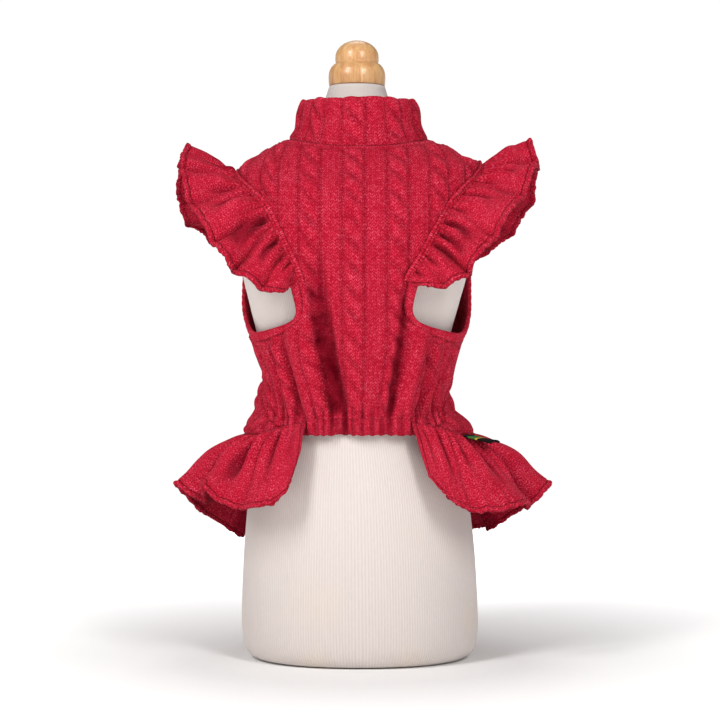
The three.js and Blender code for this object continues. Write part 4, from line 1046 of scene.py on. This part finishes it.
skirtReach = (
    ("at", "out", "down", "along", "lift"),
    (0, 10, 17, -3, 0.5), (0.006, 14, 27, -2, 0.7), (0.014, 19, 37, 0, 1), (0.027, 25, 44, 1, 1.2),
    (0.045, 30, 46, 0, 1.5), (0.07, 34, 46, -2, 2), (0.092, 36, 42, -2, 2.5), (0.112, 34, 36, -1, 3),
    (0.13, 35, 37, 0, 3), (0.15, 38, 41, 0, 3), (0.19, 44, 42, 0, 4), (0.23, 43, 48, 0, 3),
    (0.28, 39, 60, 0, 2), (0.36, 34, 68, 0, 1), (0.5, 30, 68, 0, 1), (0.64, 34, 67, 0, 1),
    (0.73, 43, 57, 0, 2), (0.81, 50, 42, 0, 5), (0.87, 44, 46, 2, 3), (0.915, 40, 51, 2, 2),
    (0.95, 33, 49, 3, 1.5), (0.974, 26, 44, 6, 1.2), (0.987, 20, 36, 8, 1), (0.995, 15, 31, 10, 0.7),
    (1, 11, 26, 9, 0.5),
)
skirtWaves = (
    (0, 0), (0.03, 2), (0.06, -2.5), (0.105, 6), (0.145, -9), (0.19, 8), (0.235, -7), (0.28, 7),
    (0.325, -7), (0.375, 7), (0.42, -7), (0.465, 7), (0.51, -7), (0.555, 7), (0.6, -7), (0.65, 7),
    (0.695, -7), (0.745, 6), (0.78, -4), (0.815, 7), (0.855, -8), (0.91, 6), (0.95, -1),
    (0.975, 2), (1, 0),
)
# Valleys pinched in at the seam: how deep and wide they are and how far out they run
leftSleevePinches = (
    ("at", "depth", "width", "end"),
    (0.035, 3.4, 3, 0.7), (0.085, 3.4, 2.2, 0.6), (0.125, 3.6, 2, 0.6), (0.175, 5.5, 3, 0.85),
    (0.225, 3, 2, 0.5), (0.275, 8.5, 4.2, 0.95), (0.325, 3, 2, 0.6),
    (0.375, 5.4, 2.6, 0.9), (0.42, 3.6, 1.8, 0.8), (0.475, 4, 2, 1), (0.53, 3.4, 2, 0.8),
    (0.6, 3.6, 3, 0.9), (0.66, 2.4, 2.4, 0.6), (0.73, 4.6, 3.4, 0.9), (0.81, 3, 2.8, 0.7), (0.9, 3.6, 3, 0.8),
    (0.96, 2, 2.4, 0.5),
)
rightSleevePinches = (
    ("at", "depth", "width", "end"),
    (0.05, 3, 2.6, 0.7), (0.12, 3, 2.2, 0.6), (0.17, 5, 2.2, 0.9), (0.215, 7, 2.6, 0.95), (0.26, 6, 3, 0.95),
    (0.315, 2.6, 2, 0.5), (0.37, 4.4, 2.6, 0.7), (0.42, 2.6, 2, 0.5), (0.455, 3.8, 2, 0.95),
    (0.495, 3.6, 2, 0.9), (0.56, 3.4, 2.4, 0.8),
    (0.62, 2.4, 2.2, 0.6), (0.69, 4.4, 3.4, 0.9), (0.77, 3, 2.6, 0.7), (0.84, 4, 3.2, 0.85),
    (0.93, 3, 2.8, 0.7),
)
skirtPinches = (
    ("at", "depth", "width", "end"),
    (0.02, 1.8, 2.2, 0.8), (0.043, 4, 2.4, 0.9), (0.062, 4.4, 2, 0.9), (0.086, 9, 3.6, 0.9),
    (0.117, 3.4, 1.8, 0.95), (0.136, 2.4, 1.3, 1), (0.15, 5, 3.4, 0.9), (0.2, 3, 3.4, 0.6),
    (0.245, 4, 4, 0.8), (0.3, 3, 3.2, 0.7),
    (0.345, 4.6, 4.4, 0.85), (0.395, 2.6, 3, 0.6), (0.44, 4, 4, 0.8), (0.5, 4.6, 4.4, 0.85),
    (0.545, 2.6, 3, 0.6),
    (0.6, 4.2, 4, 0.8), (0.66, 3, 3.2, 0.6), (0.7, 4.6, 4.2, 0.85), (0.755, 3, 3.2, 0.7), (0.8, 3, 3.4, 0.8),
    (0.853, 6.5, 3, 1), (0.872, 3, 1.6, 1), (0.889, 2.4, 1.4, 1), (0.905, 4.4, 2.8, 0.9),
    (0.935, 3, 2.2, 0.7), (0.948, 2.2, 1.4, 1), (0.96, 3, 2, 0.9), (0.982, 1.8, 1.8, 0.9),
)
ruffle = {
    "sleeveGrid": (520, 40),
    "skirtGrid": (1000, 46),
    "sleeveFullAt": 0.34,  # share of the way out where the waves are at their highest
    "skirtFullAt": 0.75,
    "rowCrowding": 1.2,  # above 1 there are more rows near the edge
    "slopeStep": 0.003,
    "sCurve": 0.8,
    "waveSize": 1.15,
    "pinchSpread": 0.9,  # how much wider a pinch gets on its way out
    "pinchRidge": 0.3,  # height of the soft ridge beside it, as a share of its depth
    "gatherDepth": 0.6,
    "gatherPitch": 5.5,
    "frillDepth": 0.85,
    "frillPitch": 8.5,
    "calmEnds": 0.3,  # share of the frill left near a sleeve's ends
    "scallop": 0.45,  # how far the frilled edge runs in and out
    "bead": 0.9,  # the overlocked edge is this much thicker on each side
    "ribPitch": 11,
    "ribRise": 0.4,
    "ribWidth": 0.13,
    # Painted shade in the waves' troughs, the pinches, the gathers, along the seam and on the underside
    "waveShade": 0.45,
    "pinchShade": 0.75,
    "gatherShade": 0.3,
    "rootShade": 0.5,
    "undersideShade": 0.4,  # the underside faces the body and gets less light
}


# Height of the waves at places along the seam: narrow valleys between rounder ridges
def waveRise(waves, at):
    table = np.array(waves, float)
    low = np.clip(np.searchsorted(table[:, 0], at) - 1, 0, len(table) - 2)
    share = np.clip((at - table[low, 0]) / (table[low + 1, 0] - table[low, 0]), 0, 1)
    rising = table[low + 1, 1] > table[low, 1]
    fromValley = np.where(rising, share, 1 - share)
    eased = np.sin(math.pi / 2 * fromValley**0.9) ** 1.15
    valley = np.where(rising, table[low, 1], table[low + 1, 1])
    ridge = np.where(rising, table[low + 1, 1], table[low, 1])
    return mix(valley, ridge, eased)


# 1 along a seam, falling to 0 at both its ends
def fadeEnds(at, width):
    return smoothStep(0, width, at) * smoothStep(0, width, 1 - at)


# Turns a grid's normals to the side that the ruffle's cloth lifts to
def facingUp(normals, up):
    return normals * np.where((normals * up[:, None]).sum() < 0, -1, 1)


# Cloth of a ruffle: from its seam out to its edge over an arch, with waves that grow, fine
# gathers at the seam, a frilled edge and the thicker bead of the overlock stitches
def ruffleMesh(name, rootAt, reachAt, waves, pinches, seed, welt=None):
    steps, rows = ruffle["sleeveGrid"] if welt else ruffle["skirtGrid"]
    fullAt = ruffle["sleeveFullAt"] if welt else ruffle["skirtFullAt"]
    at = np.linspace(0, 1, steps)
    out = 1 - (1 - np.linspace(0, 1, rows)) ** ruffle["rowCrowding"]
    point, lift = rootAt(at)
    near = ruffle["slopeStep"]
    ahead, behind = rootAt(np.minimum(at + near, 1))[0], rootAt(np.maximum(at - near, 0))[0]
    reach, arch = reachAt(at)
    up = unit(np.cross(ahead - behind, reach))
    up = up * np.where((up * lift).sum(-1, keepdims=True) < 0, -1, 1)
    bend = np.sin(math.pi * out) + ruffle["sCurve"] * np.sin(2 * math.pi * out)
    walked, rooted = walkedLength(point + reach), walkedLength(point)
    length = np.linalg.norm(reach, axis=1)
    fade = fadeEnds(at, 0.03)[:, None]
    calmest = ruffle["calmEnds"] if welt else 1
    calm = mix(calmest, 1, smoothStep(0.02, 0.25, at)) * mix(calmest, 1, smoothStep(0.02, 0.25, 1 - at))
    wave = ruffle["waveSize"] * waveRise(waves, at)[:, None] * smoothStep(0, fullAt, out)
    fold = np.zeros(wave.shape)
    for spot, depth, width, end in pinches[1:]:
        start = np.interp(spot, at, rooted)
        apart = np.abs(rooted - start)[:, None] / (width * (1 + ruffle["pinchSpread"] * out))
        shape = smoothStep(0, 0.1, out) * (1 - smoothStep(0.35 * end, end, out))
        fold = fold - depth * np.exp(-apart**1.8) * shape
        fold = fold + ruffle["pinchRidge"] * depth * bell(apart - 2, 0.9) * shape
    phase = rooted / ruffle["gatherPitch"] + 0.3 * wobble(rooted, 23, seed)
    gather = ruffle["gatherDepth"] * np.sin(2 * math.pi * phase)
    nearSeam = smoothStep(0, 0.06, out) * (1 - smoothStep(0.08, 0.3, out))
    gather = gather[:, None] * fade * nearSeam
    phase = walked / ruffle["frillPitch"] + 0.35 * wobble(walked, 31, seed + 1)
    frill = np.sin(2 * math.pi * phase) + 0.45 * np.sin(2 * math.pi * 2.3 * phase)
    frill = ruffle["frillDepth"] * frill * (0.7 + 0.35 * wobble(walked, 40, seed + 2))
    frill = frill[:, None] * fade * calm[:, None] * smoothStep(0.6, 1, out)
    scallop = np.sin(2 * math.pi * 0.8 * phase + 1) + 0.4 * np.sin(5 * math.pi * phase)
    scallop = ruffle["scallop"] * scallop[:, None] * fade * calm[:, None] * smoothStep(0.8, 1, out)
    across = mix(rooted[:, None], walked[:, None], out)
    ribPlace = walked[:, None] / ruffle["ribPitch"]
    rib = bell(ribPlace - np.round(ribPlace), ruffle["ribWidth"])
    ribFade = smoothStep(0.05, 0.25, out) * (1 - smoothStep(0.82, 0.93, out))
    middle = point[:, None] + reach[:, None] * out[None, :, None]
    middle = middle + lift[:, None] * (arch[:, None] * bend)[..., None]
    middle = middle + up[:, None] * (wave + gather + fold + frill)[..., None]
    middle = middle + unit(reach)[:, None] * scallop[..., None]
    normals = facingUp(gridNormals(middle), up)
    fromEnds = 100 if welt else np.minimum(across - across[:1], across[-1:] - across)
    wale = walked[:, None] + 0 * out  # wales run from the hem and crowd together at the seam
    fromEdge = np.minimum((1 - out) * length[:, None], fromEnds)
    bead = ruffle["bead"] * (bell(fromEdge - 1.1, 1.2) - 0.5 * bell(fromEdge - 3.3, 0.7))
    half = clothThickness / 2 + bead + ruffle["ribRise"] * rib * ribFade
    # Painted shade in the waves' troughs, the pinches, the gathers and along the seam
    hollow = ruffle["waveShade"] * smoothStep(0.5, 5, -wave)
    hollow = hollow + ruffle["pinchShade"] * smoothStep(0.2, 4, -fold)
    hollow = hollow + ruffle["gatherShade"] * smoothStep(0.1, 0.5, -gather)
    hollow = hollow + ruffle["rootShade"] * bell(out, 0.03)
    cloth = clothPlaces(wale, out * length[:, None], fromEdge, hollow)
    if welt:
        sewn, sewnHalf, sewnShade = welt(at)
        sewnCloth = clothPlaces(rooted[:, None], weltAt, hollow=sewnShade)
        normals = np.concatenate([facingUp(gridNormals(sewn), up), normals], 1)
        middle = np.concatenate([sewn, middle], 1)
        half = np.concatenate([sewnHalf, half], 1)
        cloth = np.concatenate([sewnCloth, cloth], 1)
    outer, inner = middle + normals * half[..., None], middle - normals * half[..., None]
    return clothMesh(name, outer, inner, cloth, innerShade=ruffle["undersideShade"])


# The seam is sewn down on the panel as a flat welt with a ridge on each side of its stitches
weltShape = {
    "rise": 1.5,
    "ridges": (3.2, 1.1),
    "ridgeWidth": 0.75,
    "stitches": 65,
    "grooves": ((2.15, 0.45), (0.1, 0.5)),  # distance from the armhole's edge and half width
    "dark": 0.9,
    "thickness": 0.8,
    "rootOut": 0.3,  # the ruffle starts this far out from the armhole's edge
    "rootSink": 0.7,
    "shoulder": 0.53,  # it lies flatter where it goes over the shoulder
    "shoulderFlat": 0.65,
    "shoulderWidth": 0.06,
}
weltAt = np.array([4.4, 4.1, 3.8, 3.5, 3.2, 2.9, 2.5, 2.15, 1.8, 1.4, 1.1, 0.8, 0.45])


def sleeveRuffle(name, side, reaches, waves, pinches, seed):
    def rootAt(at):
        points, normals, inward = armholeFrame(side, at * ruffleEnd)
        return points - inward * weltShape["rootOut"] - normals * weltShape["rootSink"], normals

    def reachAt(at):
        row = smoothRows(reaches, at)
        return np.stack([side * row["side"], -row["forward"], row["up"]], -1), row["lift"]

    def welt(at):
        points, normals, inward = armholeFrame(side, at * ruffleEnd)
        shape, thick = weltShape, weltShape["thickness"]
        ends = fadeEnds(at, 0.02)[:, None]
        ridges = sum(bell(weltAt - spot, shape["ridgeWidth"]) for spot in shape["ridges"])
        stitches = 1 + 0.15 * np.sin(2 * math.pi * at * shape["stitches"])[:, None]
        flat = shape["shoulderFlat"] * bell(at - shape["shoulder"], shape["shoulderWidth"])
        size = shape["rise"] * (1 - flat)[:, None]
        outermost = weltAt > 4
        rise = (size * ridges * stitches + 0.35 - 0.7 * outermost) * ends
        middle = points[:, None] - inward[:, None] * weltAt[None, :, None]
        middle = middle + normals[:, None] * ((rise - thick) / 2)[..., None]
        # Painted shade in the welt's grooves and along its outer edge
        grooves = sum(shape["dark"] * bell(weltAt - spot, width) for spot, width in shape["grooves"])
        return middle, (rise + thick) / 2 + 0.02, (grooves + 0.8 * outermost) * ends

    return ruffleMesh(name, rootAt, reachAt, waves, pinches, seed, welt)


leftSleeve = ("dress_sleeve_ruffle_left", -1, leftSleeveReach, leftSleeveWaves, leftSleevePinches, 41)
rightSleeve = ("dress_sleeve_ruffle_right", 1, rightSleeveReach, rightSleeveWaves, rightSleevePinches, 53)
place(sleeveRuffle(*leftSleeve), "sleeve_ruffle_left", "dress_knit", knit,
      flat=(0.36, 0.045), area=0.0105, held="gathered", rests_on=["belly_panel", "back_panel"])
place(sleeveRuffle(*rightSleeve), "sleeve_ruffle_right", "dress_knit", knit,
      flat=(0.35, 0.045), area=0.0105, held="gathered", rests_on=["belly_panel", "back_panel"])

skirt = {
    "drop": 0.6,
    "cornerAngle": math.radians(26),
    "cornerRise": 10,
    "cornerOut": 2.6,
    "riseEnd": 0.11,
}


def skirtRuffle():
    ring = bodyRing(np.array([float(dressBottom)]))
    walks = walkRings(ring)
    total = walks[0][0, -1]
    corner = total - np.interp(skirt["cornerAngle"], walkAngles, walks[0][0])

    def angleAt(at):
        distance = mix(-corner, corner, at)
        ends = np.where(distance > 0, walks[0][0, -1], walks[1][0, -1])
        spots = np.where(distance > 0, 1, -1) * (ends - np.abs(distance))
        return anglesAt(walks, spots[None])[0]

    def cornerAt(at):
        return 1 - smoothStep(0, skirt["riseEnd"], np.minimum(at, 1 - at))

    def rootAt(at):
        angle = angleAt(at)
        corner = cornerAt(at)
        key = dressBottom + skirt["cornerRise"] * corner
        offset = -clothThickness / 2 + skirt["cornerOut"] * smoothStep(0, 0.4, corner)
        points = ringPoints(bodyRing(key), angle, offset)
        points[:, 2] -= skirt["drop"]
        return points, outwardFrom(ring, angle)

    def reachAt(at):
        row = smoothRows(skirtReach, at)
        outward = outwardFrom(ring, angleAt(at))
        along = np.stack([-outward[:, 1], outward[:, 0], 0 * outward[:, 0]], -1)
        reach = outward * row["out"][:, None] + along * row["along"][:, None]
        reach[:, 2] = -row["down"] - skirt["cornerRise"] * cornerAt(at)
        return reach, row["lift"]

    return ruffleMesh("dress_skirt_ruffle", rootAt, reachAt, skirtWaves, skirtPinches, seed=67)


place(skirtRuffle(), "skirt_ruffle", "dress_knit", knit,
      flat=(0.72, 0.075), area=0.032, held="gathered", rests_on=["back_panel"])
print("ruffles made")


band = {
    "width": 7.1,
    "above": 1.1,
    "below": 1.5,
    "gap": -1.2,
    "start": -0.03,
    "corner": -2.8,  # it is narrower in the tight bend low at the front
    "cornerAt": 0.93,
    "cornerWidth": 0.035,
    "flatness": 0.7,
    "fullness": 0.8,
    "pucker": 0.22,
    "puckerPitch": 6.5,
    "steps": 150,
    "sides": 20,
}


def armholeBand(name, side, seed):
    at = np.linspace(ruffleEnd + band["start"], 1 - band["start"], band["steps"])
    points, normals, inward = armholeFrame(side, at)
    walked = walkedLength(points)
    turn = np.linspace(0, 2 * math.pi, band["sides"], endpoint=False)
    inset = band["gap"] + band["width"] * (0.5 - 0.5 * signedPower(np.cos(turn), band["flatness"]))
    narrower = band["corner"] * bell(at - band["cornerAt"], band["cornerWidth"])[:, None]
    inset = inset + narrower * smoothStep(0, 1, inset / band["width"])
    level = signedPower(np.sin(turn), band["fullness"])
    rise = np.where(level > 0, level * (band["above"] + 0.5), level * band["below"])
    pucker = band["pucker"] * np.sin(2 * math.pi * walked / band["puckerPitch"] + wobble(walked, 19, seed))
    loops = points[:, None] + inward[:, None] * inset[..., None]
    loops = loops + normals[:, None] * (rise * (1 + pucker[:, None] * 0.6))[..., None]
    # Painted shade along the band's upper edge, less on the puckers' ridges and more between them
    hollow = 0.9 * bell(inset - band["gap"], 0.9) * (level > 0) - 0.5 * pucker[:, None]
    return loopMesh(name, loops, clothPlaces(inset, walked[:, None], hollow=hollow))


place(armholeBand("dress_armhole_band_left", -1, 71), "armhole_band_left", "dress_knit", knit,
      flat=(0.15, 0.0125), area=0.00125, held="folded", rests_on=["belly_panel", "back_panel"])
place(armholeBand("dress_armhole_band_right", 1, 73), "armhole_band_right", "dress_knit", knit,
      flat=(0.15, 0.0125), area=0.00125, held="folded", rests_on=["belly_panel", "back_panel"])


def labelPiece():
    ring = bodyRing(np.array([float(dressBottom)]))
    angle = np.array([math.radians(labelShape["angle"])])
    root = ringPoints(ring, angle)[0]
    outward = outwardFrom(ring, angle)[0]
    sideways = np.array([-outward[1], outward[0], 0])
    droop = math.radians(labelShape["droop"])
    forward = outward * math.cos(droop) - np.array([0, 0, math.sin(droop)])
    lift = np.cross(forward, sideways)
    along = np.linspace(0, labelShape["length"], 45)
    across = np.linspace(-labelShape["width"] / 2, labelShape["width"] / 2, 27)
    curl = labelShape["curl"] * (along[:, None] / labelShape["length"]) ** 2
    curl = curl * np.cos(across / labelShape["curlReach"])
    start = root + outward * labelShape["out"]
    start[2] -= labelShape["drop"]
    middle = start + forward * along[:, None, None] + sideways * across[None, :, None]
    middle = middle + lift * curl[..., None]
    half = lift * labelShape["thickness"] / 2
    cloth = clothPlaces(along[:, None], across)
    return clothMesh("dress_label", middle + half, middle - half, cloth)


place(labelPiece(), "label", "woven_label", labelCloth,
      flat=(0.022, 0.013), held="stretched", rests_on=["skirt_ruffle"])
print("bands and label made")


formRings = (
    ("height", "half", "depth", "shift"),
    (0, 68, 57, 1.4), (1.4, 74, 63, 1.4), (5.5, 79, 67.5, 1.4), (14, 81.8, 70, 1.4), (35, 82.3, 70.5, 1.2),
    (80, 80, 68.8, 0.8), (120, 75, 65, 0), (150, 66, 60, -1.2), (175, 59.5, 57, -2.4), (200, 61, 57.5, -2.8),
    (228, 68.3, 61, -2.9), (248, 73.6, 65, -2.6), (268, 78.5, 68, -2.2), (300, 81.3, 69.5, -1.6),
    (320, 80, 65.5, -1), (333, 74, 57, -0.8), (344, 59, 47.5, -0.6), (357, 43, 39, -0.6),
    (375, 29.5, 28.5, -0.7), (390, 22.2, 22.2, -0.7), (398, 19.6, 19.6, -0.7),
)
formShape = {
    "roundness": 2.15,
    "sides": 240,
    "ribRadius": 75,  # where the jersey's ribs have their own width
}


def formTorso():
    heights = np.concatenate([[0, 0.3, 0.7, 1.4, 2.4, 3.8, 5.5, 8, 11], np.arange(14, 398, 3.5), [398]])
    ring = asColumns(smoothRows(formRings, heights))
    angle = np.linspace(-math.pi, math.pi, formShape["sides"] + 1)
    power = 2 / formShape["roundness"]
    x = ring["shift"] + ring["half"] * signedPower(np.sin(angle), power)
    y = -ring["depth"] * signedPower(np.cos(angle), power)
    points = np.stack([x, y, np.broadcast_to(heights[:, None], x.shape)], -1)
    return loopMesh("form_jersey_torso", points, clothPlaces(angle * formShape["ribRadius"], heights[:, None]))


place(formTorso(), "form_torso", "form_jersey", jersey)

finial = {"shift": -0.7, "seat": 398.05, "radius": 19, "sides": 120, "steps": 110}
finialOutline = (
    ("height", "radius"),
    (0, 19.1), (1.2, 19.6), (4.8, 19.9), (8, 19.9), (11, 19.3), (13.4, 18.1), (15.2, 16.6), (16, 15.4),
    (16.5, 14.7), (17.1, 14.9), (17.8, 15.2), (21, 15.2), (23.4, 14.8), (25.9, 13.6), (28.4, 11.5),
    (30.4, 8.6), (31.7, 5.2), (32.3, 2.4), (32.5, 0.3),
)


def finialPiece():
    table = np.array(finialOutline[1:], float)
    walked = walkedLength(table)
    rows = [("along", "height", "radius")] + [(at, *row) for at, row in zip(walked, table)]
    outline = smoothRows(rows, np.linspace(0, walked[-1], finial["steps"]))
    angle = np.linspace(0, 2 * math.pi, finial["sides"], endpoint=False)
    radii, heights = outline["radius"][:, None], outline["height"][:, None]
    points = np.stack(np.broadcast_arrays(
        finial["shift"] + radii * np.sin(angle), -radii * np.cos(angle), finial["seat"] + heights), -1)
    return loopMesh("form_wooden_finial", points, clothPlaces(angle * finial["radius"], heights))


place(finialPiece(), "form_finial", "finial_wood", beech)
print("dress form made")


stage = {
    "floor": "#fafaf9",
    "speck": "#f7f6f5",
    "specksPerMetre": 400.0,
    "radius": 1.15,
    "sides": 96,
    "fadeStart": 0.12,
    "fadeEnd": 0.6,
    "glow": 0.9,
}


def paleFloor():
    mesh = bpy.data.meshes.new("floor")
    turns = [2 * math.pi * side / stage["sides"] for side in range(stage["sides"])]
    rim = [(stage["radius"] * math.cos(turn), stage["radius"] * math.sin(turn), 0) for turn in turns]
    mesh.from_pydata(rim, [], [list(range(stage["sides"]))])
    floor = bpy.data.objects.new("floor", mesh)
    bpy.context.scene.collection.objects.link(floor)
    material, tree = startMaterial("mattPaintedFloor", Roughness=0.9, Specular_IOR_Level=0.1)
    shader = tree.nodes["Principled BSDF"]
    speckle = addNode(tree, "TexNoise", {"Scale": stage["specksPerMetre"]})
    mixed = {0: speckle, 6: colour(stage["floor"]), 7: colour(stage["speck"])}
    tree.links.new(addNode(tree, "Mix", mixed, output=2, data_type="RGBA"), shader.inputs["Base Color"])
    # Far from the object the floor brightens until it can't be told from the backdrop
    where = addNode(tree, "TexCoord", output="Object")
    away = addNode(tree, "VectorMath", where, output="Value", operation="LENGTH")
    glow = addNode(tree, "MapRange", away, stage["fadeStart"], stage["fadeEnd"], 0.0, stage["glow"])
    shader.inputs["Emission Color"].default_value = colour("#ffffff")
    tree.links.new(glow, shader.inputs["Emission Strength"])
    mesh.materials.append(material)


def softLight(name, position, target, width, height, power):
    data = bpy.data.lights.new(name, "AREA")
    data.shape, data.size, data.size_y, data.energy = "RECTANGLE", width, height, power
    light = bpy.data.objects.new(name, data)
    light.location = position
    light.rotation_euler = (Vector(target) - Vector(position)).to_track_quat("-Z", "Y").to_euler()
    bpy.context.scene.collection.objects.link(light)


# Light that each level of the room gives: a grey floor, white paper round the object, a dim
# room above it and a bright ceiling
roomLight = {
    "levels": ((0.0, 0.3), (0.36, 0.35), (0.4, 0.5), (0.59, 0.5), (0.64, 0.12), (0.86, 0.12), (0.95, 0.4)),
    "strength": 2.05,
    "elsewhere": 0.5,  # share of it from all sides but straight behind the object
    "backdrop": 1.03,  # seen straight on, the backdrop is white from every side
}
# Name, place, target, width, height and power of each soft box
softBoxes = (
    ("left_softbox", (-1.05, -1.25, 1.3), (0, 0, 0.28), 0.5, 1.1, 23),
    ("right_softbox", (0.75, -1.45, 1.1), (0, 0, 0.28), 0.4, 0.9, 16),
    ("back_softbox", (0, 1.2, 2.1), (0, 0.35, 0), 0.9, 0.9, 7),
)


def studio():
    world = bpy.data.worlds.new("studio")
    bpy.context.scene.world = world
    world.use_nodes = True
    tree = world.node_tree
    direction = addNode(tree, "TexCoord", output="Generated")
    ahead, level = addNode(tree, "SeparateXYZ", direction, output=slice(1, 3))
    upright = addNode(tree, "Math", level, 0.5, 0.5, operation="MULTIPLY_ADD")
    ramp = addNode(tree, "ValToRGB", upright)
    setStops(ramp, [(at, (light, light, light, 1)) for at, light in roomLight["levels"]])
    behind = addNode(tree, "MapRange", ahead, 0.75, 0.95, roomLight["elsewhere"], 1.0)
    light = addNode(tree, "Math", behind, roomLight["strength"], operation="MULTIPLY")
    seen = addNode(tree, "LightPath", output="Is Camera Ray")
    mixed = {0: seen, 6: ramp, 7: (1, 1, 1, 1)}
    background = tree.nodes["Background"]
    tree.links.new(addNode(tree, "Mix", mixed, output=2, data_type="RGBA"), background.inputs[0])
    mixed = {0: seen, 2: light, 3: roomLight["backdrop"]}
    tree.links.new(addNode(tree, "Mix", mixed), background.inputs[1])
    for box in softBoxes:
        softLight(*box)
    bpy.context.scene.view_settings.view_transform = "Standard"


camera = {
    "distance": 1.4,
    "height": 0.207,
    "across": 0.0014,
    "lens": 100,
    "sensor": 36,
    "clip": (0.05, 30),
}


def placeCamera():
    data = bpy.data.cameras.new("camera")
    data.lens, data.sensor_width = camera["lens"], camera["sensor"]
    data.clip_start, data.clip_end = camera["clip"]
    holder = bpy.data.objects.new("camera", data)
    holder.location = (camera["across"], -camera["distance"], camera["height"])
    holder.rotation_euler = (math.pi / 2, 0, 0)
    bpy.context.scene.collection.objects.link(holder)
    bpy.context.scene.camera = holder


paleFloor()
studio()
placeCamera()
print("stage, lights and camera made")
